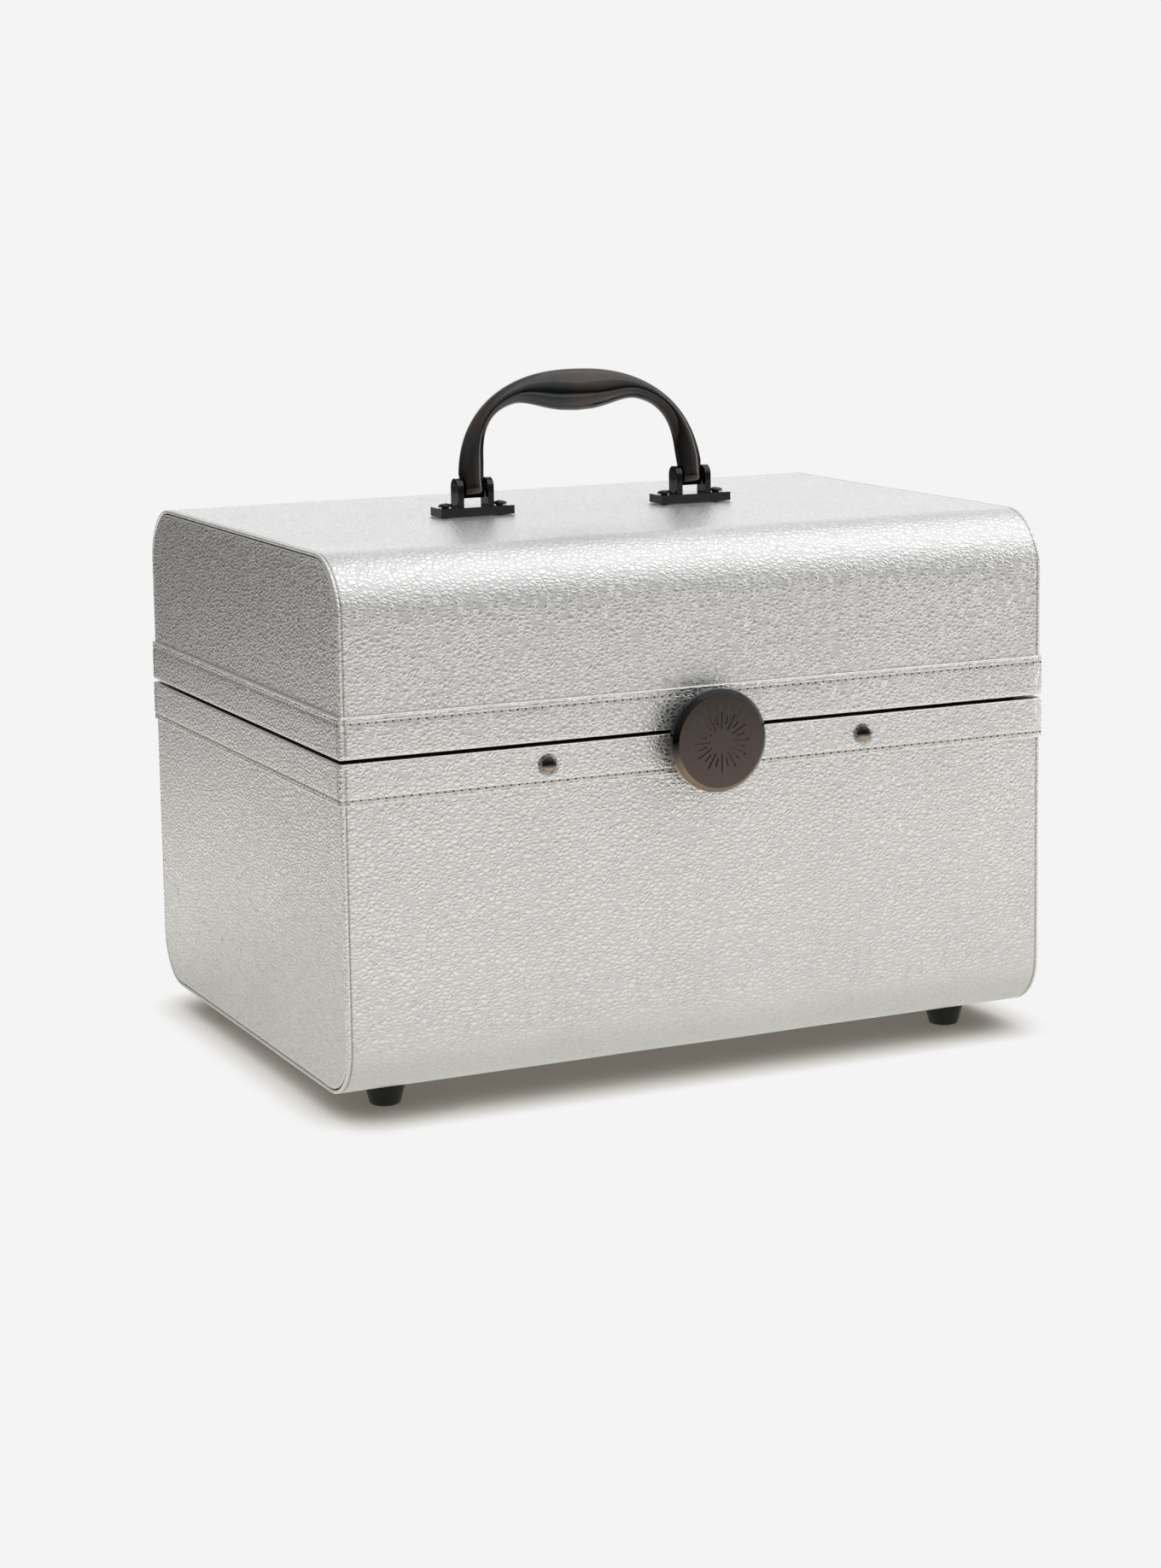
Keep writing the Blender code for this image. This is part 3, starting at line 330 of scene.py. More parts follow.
def remap(tree, value, before, after, kind="LINEAR"):
    """A value taken from one range to another, and held at its ends."""
    inputs = {"Value": value}
    inputs["From Min"], inputs["From Max"] = before
    inputs["To Min"], inputs["To Max"] = after
    return add_node(tree, "MapRange", inputs, interpolation_type=kind).outputs[0]


def maths(tree, operation, first, second=0.0, clamp=False):
    node = add_node(tree, "Math", operation=operation, use_clamp=clamp)
    connect(tree, node.inputs[0], first)
    connect(tree, node.inputs[1], second)
    return node.outputs[0]


def mix_colour(tree, amount, first, second, blend="MIX"):
    inputs = {"Factor": amount, "A": first, "B": second}
    node = add_node(tree, "Mix", data_type="RGBA", blend_type=blend)
    set_inputs(tree, node, inputs)
    return node.outputs["Result"]


def shades(tree, amount, colour, dark, light):
    """One colour in a darker to a lighter shade."""
    ends = [(*(channel * shade for channel in colour), 1) for shade in (dark, light)]
    return mix_colour(tree, amount, *ends)


def noise_of(tree, place, scale, detail=2.0, roughness=0.5, output="Fac"):
    inputs = {"Vector": place, "Scale": scale, "Detail": detail, "Roughness": roughness}
    return add_node(tree, "TexNoise", inputs).outputs[output]


def bump(tree, height, distance, strength=1.0, normal=None):
    inputs = {"Height": height, "Distance": distance, "Strength": strength}
    node = add_node(tree, "Bump", inputs)
    if normal is not None:
        tree.links.new(normal, node.inputs["Normal"])
    return node.outputs["Normal"]


# ---------------------------------------------------------------- materials
def make_leather(name, dimples=()):
    """Silver foil on pebbled leather: rounded pebbles, fine creases between them, soft mottling.

    The foil is lighter along edges, scuffing with a painted highlight, and darker in creases, gaps
    and on the turn-in, painted shade; it is pressed in round each of the dimples, which are (place, radius).
    """
    material, tree, shader = new_material(name, {
        "Specular IOR Level": 0.5, "Coat Weight": 0.1, "Coat Roughness": 0.3,
    })
    place = object_place(tree)
    warp = noise_of(tree, place, WARP_SCALE, output="Color")
    centred = vector_maths(tree, "SUBTRACT", warp, (0.5, 0.5, 0.5), "Vector")
    scaled = add_node(tree, "VectorMath", {0: centred, "Scale": WARP_REACH}, operation="SCALE").outputs[0]
    grain_place = stretched(tree, vector_maths(tree, "ADD", place, scaled, "Vector"), PEBBLE_STRETCH)

    cells = {"Vector": grain_place, "Scale": PEBBLE_SCALE}
    gap = add_node(tree, "TexVoronoi", cells, feature="DISTANCE_TO_EDGE").outputs["Distance"]
    cells["Smoothness"] = 0.6
    pebble = add_node(tree, "TexVoronoi", cells, feature="SMOOTH_F1").outputs["Distance"]
    fine = noise_of(tree, grain_place, FINE_GRAIN_SCALE)
    cloud = noise_of(tree, place, MOTTLE_SCALE, 3.0)

    dome = maths(tree, "SUBTRACT", 1.0, maths(tree, "POWER", pebble, 1.6))
    edge = ramp(tree, gap, ((0.0, 0.0), (0.22, 1.0)))
    body = maths(tree, "MULTIPLY", dome, edge)
    height = maths(tree, "ADD", body, maths(tree, "MULTIPLY", fine, 0.22))

    tone = ramp(tree, body, tuple(zip(CREASE_TO_PEBBLE, (FOIL_IN_CREASE, FOIL_ON_PEBBLE))))
    mottle = ramp(tree, cloud, ((0.3, 0.955), (0.7, 1.0)))
    foil = mix_colour(tree, 1.0, tone, mottle, "MULTIPLY")
    wear_and_painted_light = add_node(tree, "Attribute", attribute_name="wear_and_painted_light").outputs["Fac"]
    # Positive values lighten the foil, scuffing with a painted highlight; negative ones darken it, painted
    # shade.
    rub_and_painted_highlight = maths(tree, "MULTIPLY", wear_and_painted_light, 0.8, clamp=True)
    painted_shade = maths(tree, "MULTIPLY", wear_and_painted_light, -1.0, clamp=True)
    foil = mix_colour(tree, rub_and_painted_highlight, foil, (*FOIL_RUBBED_AND_PAINTED_HIGHLIGHT, 1))
    foil = mix_colour(tree, painted_shade, foil, (*PAINTED_GAP_AND_CREASE_SHADE, 1))
    normal = bump(tree, height, GRAIN_DEPTH)
    for centre, radius in dimples:
        away = vector_maths(tree, "DISTANCE", place, centre)
        dish = remap(tree, away, (radius, radius * DIMPLE_FADE), (0.0, 1.0), "SMOOTHSTEP")
        normal = bump(tree, dish, DIMPLE_DEPTH, 1.0, normal)
    set_inputs(tree, shader, {
        "Base Color": foil,
        "Metallic": remap(tree, body, CREASE_TO_PEBBLE, FOIL_METALLIC),
        "Roughness": remap(tree, body, (0.1, 0.8), FOIL_ROUGHNESS),
        "Normal": normal,
    })
    return material


def make_gunmetal(name, warm, cool, roughness, painted_reflection_below=None, span=1.0):
    """Dark plated metal: warm and cool patches in the plating, under faint polishing marks.

    Given a reflected colour, the plating turns to it from the piece's middle down to span under it: a painted
    reflection of the floor.
    """
    material, tree, shader = new_material(name, {"Metallic": 1.0, "Coat Weight": 0.5, "Coat Roughness": 0.05})
    place = object_place(tree)
    patches = noise_of(tree, place, 55.0, 3.0)
    marks = noise_of(tree, stretched(tree, place, POLISHING_STRETCH), 8.0, 3.0)
    tint = mix_colour(tree, ramp(tree, patches, ((0.35, 0.0), (0.65, 1.0))), (*warm, 1), (*cool, 1))
    if painted_reflection_below:
        rise = add_node(tree, "SeparateXYZ", {"Vector": place}).outputs["Y"]
        fade = remap(tree, rise, (-span, 0.0), (1.0, 0.0), "SMOOTHSTEP")
        tint = mix_colour(tree, fade, tint, (*painted_reflection_below, 1))
    set_inputs(tree, shader, {
        "Base Color": tint,
        "Roughness": remap(tree, patches, (0.0, 1.0), (roughness * 0.8, roughness * 1.3)),
        "Normal": bump(tree, marks, 0.03 * MM, 0.4),
    })
    return material


def make_satin(name, colour, roughness):
    """A fine brushed satin face."""
    material, tree, shader = new_material(name, {"Metallic": 0.85, "Coat Weight": 0.1, "Coat Roughness": 0.2})
    lines = noise_of(tree, stretched(tree, object_place(tree), BRUSHING_STRETCH), 6.0, 3.0)
    set_inputs(tree, shader, {
        "Base Color": shades(tree, lines, colour, 0.88, 1.1),
        "Roughness": remap(tree, lines, (0.0, 1.0), (roughness * 0.85, roughness * 1.15)),
        "Normal": bump(tree, lines, 0.01 * MM, 0.5),
    })
    return material


def make_speckled(name, colour, roughness, scale, depth, specular=0.5):
    """A matt moulded, pressed or rubber surface with a fine grain and slight colour variation."""
    material, tree, shader = new_material(name, {"Specular IOR Level": specular})
    place = object_place(tree)
    grain = noise_of(tree, place, scale, 3.0, 0.6)
    cloud = noise_of(tree, place, 45.0, 3.0)
    roughest = min(1.0, roughness * 1.12)
    set_inputs(tree, shader, {
        "Base Color": shades(tree, cloud, colour, 0.8, 1.15),
        "Roughness": remap(tree, grain, (0.0, 1.0), (roughness * 0.85, roughest)),
        "Normal": bump(tree, grain, depth, 0.8),
    })
    return material


def make_weave(name, colour, pitch, depth):
    """A plain woven cloth: two crossed sets of ribs."""
    settings = {"Roughness": 0.9, "Sheen Weight": 0.25, "Sheen Roughness": 0.5}
    material, tree, shader = new_material(name, settings)
    place = object_place(tree)
    split = add_node(tree, "SeparateXYZ", {"Vector": place}).outputs
    across = maths(tree, "ADD", split["X"], split["Y"])
    along = maths(tree, "ADD", maths(tree, "SUBTRACT", split["X"], split["Y"]), split["Z"])
    ribs = [maths(tree, "SINE", maths(tree, "MULTIPLY", value, 2 * pi / pitch)) for value in (across, along)]
    height = maths(tree, "MULTIPLY", *ribs)
    tint = shades(tree, remap(tree, height, (-1.0, 1.0), (0.0, 1.0)), colour, 0.6, 1.0)
    shade = ramp(tree, noise_of(tree, place, 120.0, 4.0), ((0.25, 0.8), (0.75, 1.0)))
    set_inputs(tree, shader, {
        "Base Color": mix_colour(tree, 1.0, tint, shade, "MULTIPLY"),
        "Normal": bump(tree, height, depth, 0.7),
    })
    return material


def make_thread():
    """Twisted silver-cream thread."""
    material, tree, shader = new_material("silver_thread", {"Roughness": 0.55, "Sheen Weight": 0.3})
    inputs = {"Vector": object_place(tree), "Scale": 900.0, "Distortion": 2.0}
    twist = add_node(tree, "TexWave", inputs, bands_direction="DIAGONAL").outputs["Fac"]
    set_inputs(tree, shader, {
        "Base Color": mix_colour(tree, twist, (0.42, 0.40, 0.36, 1), (0.78, 0.76, 0.70, 1)),
        "Normal": bump(tree, twist, 0.08 * MM, 0.8),
    })
    return material


def make_mirror():
    """Silvered glass with a few faint smears."""
    settings = {"Metallic": 1.0, "Coat Weight": 0.6, "Coat Roughness": 0.02}
    material, tree, shader = new_material("mirror_silver", settings)
    smear = noise_of(tree, object_place(tree), 25.0, 5.0)
    set_inputs(tree, shader, {
        "Roughness": remap(tree, smear, (0.45, 0.8), (0.01, 0.07)),
        "Base Color": ramp(tree, smear, ((0.3, 0.86), (0.8, 0.9))),
    })
    return material


LEATHER = make_leather("pebbled_silver_leather")
RIVET_PLACES = [sum(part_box(f"band_rivet_{side}"), Vector()) / 2 for side in ("left", "right")]
BASE_BAND_FRONT_Y = CASE_Y - HALF_DEPTH - BAND_PROUD
RIVETED_LEATHER = make_leather("riveted_silver_leather", [
    (Vector((place.x, BASE_BAND_FRONT_Y, place.z)), RIVET_PRESS) for place in RIVET_PLACES
])
GUNMETAL = make_gunmetal("polished_gunmetal", (0.070, 0.054, 0.044), (0.036, 0.041, 0.046), 0.13)
BLACKENED = make_gunmetal("blackened_gunmetal", (0.034, 0.031, 0.029), (0.026, 0.027, 0.028), 0.16)
# The knob's and the rivets' tan lower halves are a painted reflection of the floor.
KNOB_METAL = make_gunmetal(
    "knob_gunmetal", (0.012, 0.011, 0.010), (0.009, 0.009, 0.010), 0.1, (0.27, 0.205, 0.145), 14 * MM
)
RIVET_METAL = make_gunmetal(
    "rivet_gunmetal", (0.03, 0.026, 0.023), (0.02, 0.02, 0.02), 0.1, (0.36, 0.28, 0.21), 1.6 * MM
)
SATIN = make_satin("satin_gunmetal_face", (0.098, 0.077, 0.072), 0.34)
STEEL = make_gunmetal("plain_steel", (0.52, 0.51, 0.5), (0.45, 0.46, 0.48), 0.3)
RUBBER = make_speckled("black_rubber", (0.010, 0.010, 0.010), 0.6, 900.0, 0.05 * MM, 0.2)
PLASTIC = make_speckled("fine_matt_moulding", (0.075, 0.075, 0.08), 0.5, 1400.0, 0.04 * MM)
BOARD = make_speckled("pressed_board", (0.28, 0.2, 0.13), 0.85, 500.0, 0.12 * MM)
WEAVE = make_weave("lining_weave", (0.075, 0.075, 0.08), 0.7 * MM, 0.12 * MM)
THREAD = make_thread()
# Flat dark discs at the needle holes: painted shade for the holes.
HOLE_SHADE = make_speckled("stitch_hole_shade", (0.05, 0.045, 0.04), 0.8, 2000.0, 0.02 * MM)
MIRROR = make_mirror()


# ---------------------------------------------------------------- the two halves
def half_stations(is_lid, mouth_z, arc_steps=14, step=FINE):
    """Places round one half's outside from its back mouth to its front mouth: y, z and normal."""
    up = 1 if is_lid else -1
    radius = TOP_RADIUS if is_lid else BOTTOM_RADIUS
    far_z = TOP_Z if is_lid else BOTTOM_Z
    turn_y = HALF_DEPTH - radius
    turn_z = far_z - up * radius
    stations = [(HALF_DEPTH, z, 1.0, 0.0) for z in spread(mouth_z, turn_z, step)]
    for i in range(arc_steps):
        angle = pi / 2 * i / arc_steps
        normal = (cos(angle), up * sin(angle))
        stations.append((turn_y + radius * normal[0], turn_z + radius * normal[1], *normal))
    stations += [(y, far_z, 0.0, float(up)) for y in spread(turn_y, -turn_y, step)]
    for i in range(arc_steps):
        angle = pi / 2 + pi / 2 * i / arc_steps
        normal = (cos(angle), up * sin(angle))
        stations.append((-turn_y + radius * normal[0], turn_z + radius * normal[1], *normal))
    stations += [(-HALF_DEPTH, z, -1.0, 0.0) for z in spread(turn_z, mouth_z, step)]
    stations.append((-HALF_DEPTH, mouth_z, -1.0, 0.0))
    return stations


def make_wrap(name, is_lid, mouth_z, body):
    """The leather over a half's front, top or bottom, and back, with rolled and pressed ends."""
    roll = WRAP_THICK / 2
    section = [(x, 0.0) for x in closer_to_ends(HALF_WIDTH - roll, FINE)[:-1]]
    section += [(u, v) for u, v in round_corner((HALF_WIDTH - roll, roll), roll, -90, 90, 8)]
    section += [(x, WRAP_THICK) for x in (HALF_WIDTH / 2, 0.0, -HALF_WIDTH / 2)]
    section += [(-u, v) for u, v in round_corner((HALF_WIDTH - roll, roll), roll, 90, -90, 8)[:-1]]
    stations = half_stations(is_lid, mouth_z)
    rows = []
    wear_and_painted_light = []
    for y, z, ny, nz in stations:
        row = []
        for x, depth in section:
            from_end = HALF_WIDTH - abs(x)
            inward = depth
            if depth < roll:
                inward += wave((x, y, z), 45 * MM, 0.16 * MM) + 0.08 * MM
                inward += WRAP_CREASE_DEPTH * crease(from_end, *WRAP_CREASE)
            row.append((x, CASE_Y + y - inward * ny, z - inward * nz))
            # Lighter at the rolled end, scuffing with a painted highlight, and painted shade in the pressed
            # crease beside it.
            worn_and_painted_light = rubbed_and_painted_highlight(from_end) - 0.8 * crease(from_end, *WRAP_CREASE)
            wear_and_painted_light.append(worn_and_painted_light if depth < WRAP_THICK else 0.0)
        rows.append(row)
    mesh = grid_mesh(name, rows)
    set_wear_and_painted_light(mesh, wear_and_painted_light)
    wrap = add_piece(name, mesh, LEATHER, body, (NODES_FOR[name],), sharp=60)


def panel_ring(is_lid, inset, mouth_z):
    """A closed outline of an end panel, as y and z, with the same number of points at every inset."""
    up = 1 if is_lid else -1
    radius = max((TOP_RADIUS if is_lid else BOTTOM_RADIUS) - inset, 0.5 * MM)
    far_z = (TOP_Z if is_lid else BOTTOM_Z) - up * inset
    half = HALF_DEPTH - inset
    turn_z = far_z - up * radius
    start_z = mouth_z + up * (inset - WRAP_THICK - END_GROOVE)
    points = [(half, start_z + (turn_z - start_z) * t) for t in (0.0, 0.25, 0.5, 0.75)]
    points += [(half - radius + u, turn_z + up * v) for u, v in round_corner((0, 0), radius, 0, 90, 12)]
    points += [(half * t, far_z) for t in (0.6, 0.3, 0.0, -0.3, -0.6)]
    points += [(-(half - radius) + u, turn_z + up * v) for u, v in round_corner((0, 0), radius, 90, 180, 12)]
    points += [(-half, turn_z + (start_z - turn_z) * t) for t in (0.25, 0.5, 0.75, 1.0)]
    points += [(half * t, start_z) for t in (-0.75, -0.5, -0.25, 0.0, 0.25, 0.5, 0.75)]
    return points


def make_end_panel(name, is_lid, side, mouth_z, body):
    """The inlaid leather panel in an end: a rolled rim and a slightly cushioned face."""
    edge = WRAP_THICK + END_GROOVE
    roll = 0.5 * MM
    steps = [(edge, END_THICK)]
    steps += [(u, v) for u, v in round_corner((edge + roll, roll), roll, 180, 270, 5)]
    steps += [(edge + 1.6 * MM, 0.1 * MM), (edge + 4 * MM, 0.12 * MM)]
    steps += [(edge + extra * MM, 0.1 * MM) for extra in (8, 13, 19, 26, 33)]
    rows = []
    wear_and_painted_light = []
    for inset, depth in steps:
        row = []
        for y, z in panel_ring(is_lid, inset, mouth_z):
            uneven = wave((y, z, 7.0), 38 * MM, 0.07 * MM) if depth < END_THICK / 2 else 0.0
            row.append((side * (HALF_WIDTH - depth + uneven), CASE_Y + y, z))
            # Painted shade along the panel's outer edge where it meets the wrap; lighter over the rolled rim,
            # scuffing with a painted highlight.
            wear_and_painted_light.append(rubbed_and_painted_highlight(inset - edge) if depth < END_THICK else -0.6)
        rows.append(row)
    mesh = grid_mesh(name, rows)
    set_wear_and_painted_light(mesh, wear_and_painted_light)
    panel = add_piece(name, mesh, LEATHER, body, (NODES_FOR[name],), sharp=60)


def band_loop(outward, z):
    """A closed loop round the case at a distance out from its sides: places and corner distances."""
    radius = max(CORNER_RADIUS + outward, 0.05 * MM)
    inset = radius - outward
    half_x = HALF_WIDTH - inset
    half_y = HALF_DEPTH - inset
    points = []
    for turn in range(4):
        across = turn % 2 == 1
        half, reach = (half_x, half_y + radius) if across else (half_y, half_x + radius)
        way = radians(90 * turn)
        out = (round(cos(way)), round(sin(way)))
        along = (-out[1], out[0])
        for t in closer_to_ends(half, FINE):
            points.append((out[0] * reach + along[0] * t, out[1] * reach + along[1] * t, half - abs(t), out))
        corner = (out[0] * half_x + along[0] * half_x, out[1] * half_y + along[1] * half_y)
        for u, v in round_corner(corner, radius, 90 * turn, 90 * turn + 90, 6)[1:-1]:
            points.append((u, v, 0.0, (0, 0)))
    return [(x, CASE_Y + y, z, distance, out) for x, y, distance, out in points]


def make_band(name, is_lid, body):
    """The binding: a stitched outer face, rolled edges, and a thin turn-in over the wall's edge."""
    up = 1 if is_lid else -1
    mouth_z = LID_MOUTH_Z if is_lid else BASE_MOUTH_Z
    stitch = BAND_WIDTH - (LID_STITCH_DROP if is_lid else BASE_STITCH_DROP)
    proud = BAND_PROUD
    far = BAND_WIDTH
    edge = 0.5 * MM
    sunk = -0.25 * MM
    # The hidden inside, from the wall's inner edge. All rows: distance out, from the mouth, and painted
    # light:
    # positive is scuffing with a painted highlight, negative is painted shade.
    section = [(-WALL, 0.04 * MM, 0), (sunk, 0.04 * MM, 0), (sunk, far, 0), (proud - edge, far, -0.4)]
    # The rolled far edge, with a pressed line beside it.
    section += [(u, v, 0.9) for u, v in round_corner((proud - edge, far - edge), edge, 80, 0, 5)]
    section += [(proud - 0.03 * MM, far - 0.85 * MM, 0.5), (proud - 0.14 * MM, far - 1.15 * MM, -0.25)]
    section += [(proud - 0.06 * MM, far - 1.5 * MM, 0.0), (proud - 0.05 * MM, stitch + 0.6 * MM, 0.0)]
    # The stitches' groove, and the face down to the mouth.
    section += [(proud - 0.2 * MM, stitch + 0.15 * MM, -0.2), (proud - 0.2 * MM, stitch - 0.15 * MM, -0.2)]
    section += [(proud - 0.05 * MM, stitch - 0.6 * MM, 0.1), (proud, stitch - 1.4 * MM, 0.0)]
    section += [(proud + 0.03 * MM, far * 0.45, 0.0), (proud, 2.6 * MM, 0.0)]
    section += [(proud + 0.04 * MM, 1.5 * MM, 0.35)]
    # The rolled mouth edge, and the turn-in over the wall's edge.
    section += [(u, v, 0.7) for u, v in round_corner((proud - EDGE_ROLL, EDGE_ROLL), EDGE_ROLL, 0, -60, 5)]
    # Painted shade on the turn-in, inside the gap between lid and base.
    section += [(proud - EDGE_ROLL, 0.02 * MM, -1)]
    section += [(-1.5 * MM, -TURN_IN_SKIN, -1), (-WALL, -TURN_IN_SKIN, -1)]
    rows = []
    wear_and_painted_light = []
    for outward, from_mouth, worn_and_painted_light in section:
        row = []
        on_face = outward > proud - EDGE_ROLL / 2
        for x, y, z, distance, out in band_loop(outward, mouth_z + up * from_mouth):
            pressed = crease(distance, *BAND_CREASE) if out != (0, 0) else 0.0
            if on_face:
                uneven = wave((x, y, z), 22 * MM, 0.05 * MM) - 0.03 * MM - BAND_CREASE_DEPTH * pressed
                x += uneven * out[0]
                y += uneven * out[1]
            row.append((x, y, z))
            # Painted shade in the pressed crease beside each corner.
            wear_and_painted_light.append(worn_and_painted_light - 0.55 * pressed if on_face else worn_and_painted_light)
        rows.append(row)
    mesh = grid_mesh(name, rows, close_rows=True)
    set_wear_and_painted_light(mesh, wear_and_painted_light)
    leather = LEATHER if is_lid else RIVETED_LEATHER
    band = add_piece(name, mesh, leather, body, (NODES_FOR[name],), sharp=60)


def stitch_places(z):
    """Middles and directions of the stitches round a band, with the wall's outward way."""
    places = []
    walls = (
        (Vector((1, 0, 0)), Vector((0, -1, 0)), HALF_WIDTH, HALF_DEPTH),
        (Vector((0, 1, 0)), Vector((1, 0, 0)), HALF_DEPTH, HALF_WIDTH),
        (Vector((-1, 0, 0)), Vector((0, 1, 0)), HALF_WIDTH, HALF_DEPTH),
        (Vector((0, -1, 0)), Vector((-1, 0, 0)), HALF_DEPTH, HALF_WIDTH),
    )
    for along, out, half_length, distance in walls:
        run = 2 * (half_length - CORNER_RADIUS)
        count = int(run / STITCH_PITCH)
        pitch = run / count
        for i in range(count):
            middle = along * (-run / 2 + (i + 0.5) * pitch) + out * (distance + BAND_PROUD - 0.2 * MM)
            places.append((middle + Vector((0, CASE_Y, z)), along, out, pitch))
    return places


def unit_bead(rings=6, sides=8):
    """Points and faces of a unit bead whose poles are along X."""
    points = [(-1.0, 0.0, 0.0), (1.0, 0.0, 0.0)]
    faces = []
    for i in range(1, rings):
        angle = pi * i / rings
        for j in range(sides):
            turn = 2 * pi * j / sides
            points.append((-cos(angle), sin(angle) * cos(turn), sin(angle) * sin(turn)))
    for j in range(sides):
        k = (j + 1) % sides
        faces.append((0, 2 + k, 2 + j))
        last = 2 + (rings - 2) * sides
        faces.append((1, last + j, last + k))
        for i in range(rings - 2):
            low = 2 + i * sides
            faces.append((low + j, low + k, low + sides + k, low + sides + j))
    return points, faces


def scatter(name, places):
    """One mesh of a bead at every matrix."""
    bead, bead_faces = unit_bead()
    points = []
    faces = []
    for matrix in places:
        first = len(points)
        points += [matrix @ Vector(point) for point in bead]
        faces += [tuple(first + i for i in face) for face in bead_faces]
    mesh = bpy.data.meshes.new(name)
    mesh.from_pydata(points, [], faces)
    return mesh


def make_stitches(prefix, z, body):
    """Thread lying in its groove, and flat dark discs, painted shade, at the needle holes that it goes down.
    """
    threads = []
    holes = []
    for middle, along, out, pitch in stitch_places(z):
        turn = Matrix((along, out, along.cross(out))).transposed().to_4x4()
        slant = Matrix.Rotation(radians(5), 4, "Y")
        size = Matrix.Diagonal((pitch / 2 - 0.8 * HOLE_RADIUS, THREAD_RADIUS, THREAD_RADIUS, 1))
        threads.append(Matrix.Translation(middle + out * 0.03 * MM) @ turn @ slant @ size)
        size = Matrix.Diagonal((HOLE_RADIUS, 0.1 * MM, HOLE_RADIUS, 1))
        holes.append(Matrix.Translation(middle + along * pitch / 2 + out * 0.02 * MM) @ turn @ size)
    for name, places, material in (("stitching", threads, THREAD), ("hole_shade_discs", holes, HOLE_SHADE)):
        mesh = scatter(f"{prefix}_{name}", places)
        add_piece(f"{prefix}_{name}", mesh, material, body)


# ---------------------------------------------------------------- linings
def lining_profile(low, high, is_lid, inset):
    """A lining's cross-section as y and z, from its back mouth to its front mouth, at an inset."""
    up = 1 if is_lid else -1
    mouth_z, far_z = (low.z, high.z) if is_lid else (high.z, low.z)
    middle = (low.y + high.y) / 2
    half = (high.y - low.y) / 2 - inset
    outer = (TOP_RADIUS if is_lid else BOTTOM_RADIUS) - (HALF_DEPTH - (high.y - low.y) / 2)
    radius = max(outer - inset, 1 * MM)
    turn_z = far_z - up * (inset + radius)
    points = [(half, mouth_z + (turn_z - mouth_z) * t / 6) for t in range(6)]
    points += [(half - radius + u, turn_z + up * v) for u, v in round_corner((0, 0), radius, 0, 90, 8)]
    flat = half - radius
    points += [(flat * t, far_z - up * inset) for t in (0.75, 0.5, 0.25, 0.0, -0.25, -0.5, -0.75)]
    points += [(-flat + u, turn_z + up * v) for u, v in round_corner((0, 0), radius, 90, 180, 8)]
    points += [(-half, mouth_z + (turn_z - mouth_z) * t / 6) for t in range(5, -1, -1)]
    return [(middle + y, z) for y, z in points]


def make_lining(prefix, is_lid):
    """The cloth glued inside a half: one cross-shaped cut, over the wrap board and up both ends."""
    low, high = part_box(f"{prefix}_lining")
    skin = LINING_THICK / 2
    half_x = high.x - skin
    fold = LINING_FOLD
    stations = [(inset * MM, half_x) for inset in (56, 44, 32, 20, 10)]
    for angle in range(0, 91, 15):
        turn = radians(angle)
        stations.append((fold - fold * sin(turn), half_x - fold + fold * cos(turn)))
    stations += [(0.0, x) for x in spread(half_x - fold, 0.0, 12 * MM)[1:]]
    stations += [(0.0, 0.0)] + [(inset, -x) for inset, x in reversed(stations)]
    rows = []
    for inset, x in stations:
        row = []
        for y, z in lining_profile(low, high, is_lid, inset + skin):
            uneven = wave((x, y, z), 30 * MM, 0.18 * MM)
            row.append((x - uneven * (1 if x > 0 else -1) if inset else x, y, z))
        rows.append(row)
    mesh = grid_mesh(f"{prefix}_lining_cloth", rows, close_columns=False)
    lining = add_piece(mesh.name, mesh, WEAVE, prefix, (f"{prefix}_lining",), sharp=60)
    solid = lining.modifiers.new("cloth", "SOLIDIFY")
    solid.thickness = LINING_THICK * 0.96
    solid.offset = 0


def make_leatherwork():
    for body, is_lid, mouth_z in (("lid", True, LID_MOUTH_Z), ("base", False, BASE_MOUTH_Z)):
        make_wrap(f"{body}_wrap", is_lid, mouth_z, body)
        for side_name, side in (("left", -1), ("right", 1)):
            make_end_panel(f"{body}_end_{side_name}", is_lid, side, mouth_z, body)
        make_band(f"{body}_band", is_lid, body)
    make_stitches("lid", LID_MOUTH_Z + BAND_WIDTH - LID_STITCH_DROP, "lid")
    make_stitches("base", BASE_MOUTH_Z - BAND_WIDTH + BASE_STITCH_DROP, "base")
    make_lining("lid", True)
    make_lining("base", False)


# ---------------------------------------------------------------- handle
def superellipse(half_width, rise, power, angle):
    x = abs(cos(angle)) ** (2 / power) * half_width
    z = abs(sin(angle)) ** (2 / power) * rise
    return (x if cos(angle) >= 0 else -x), z - HANDLE_BASE_DROP


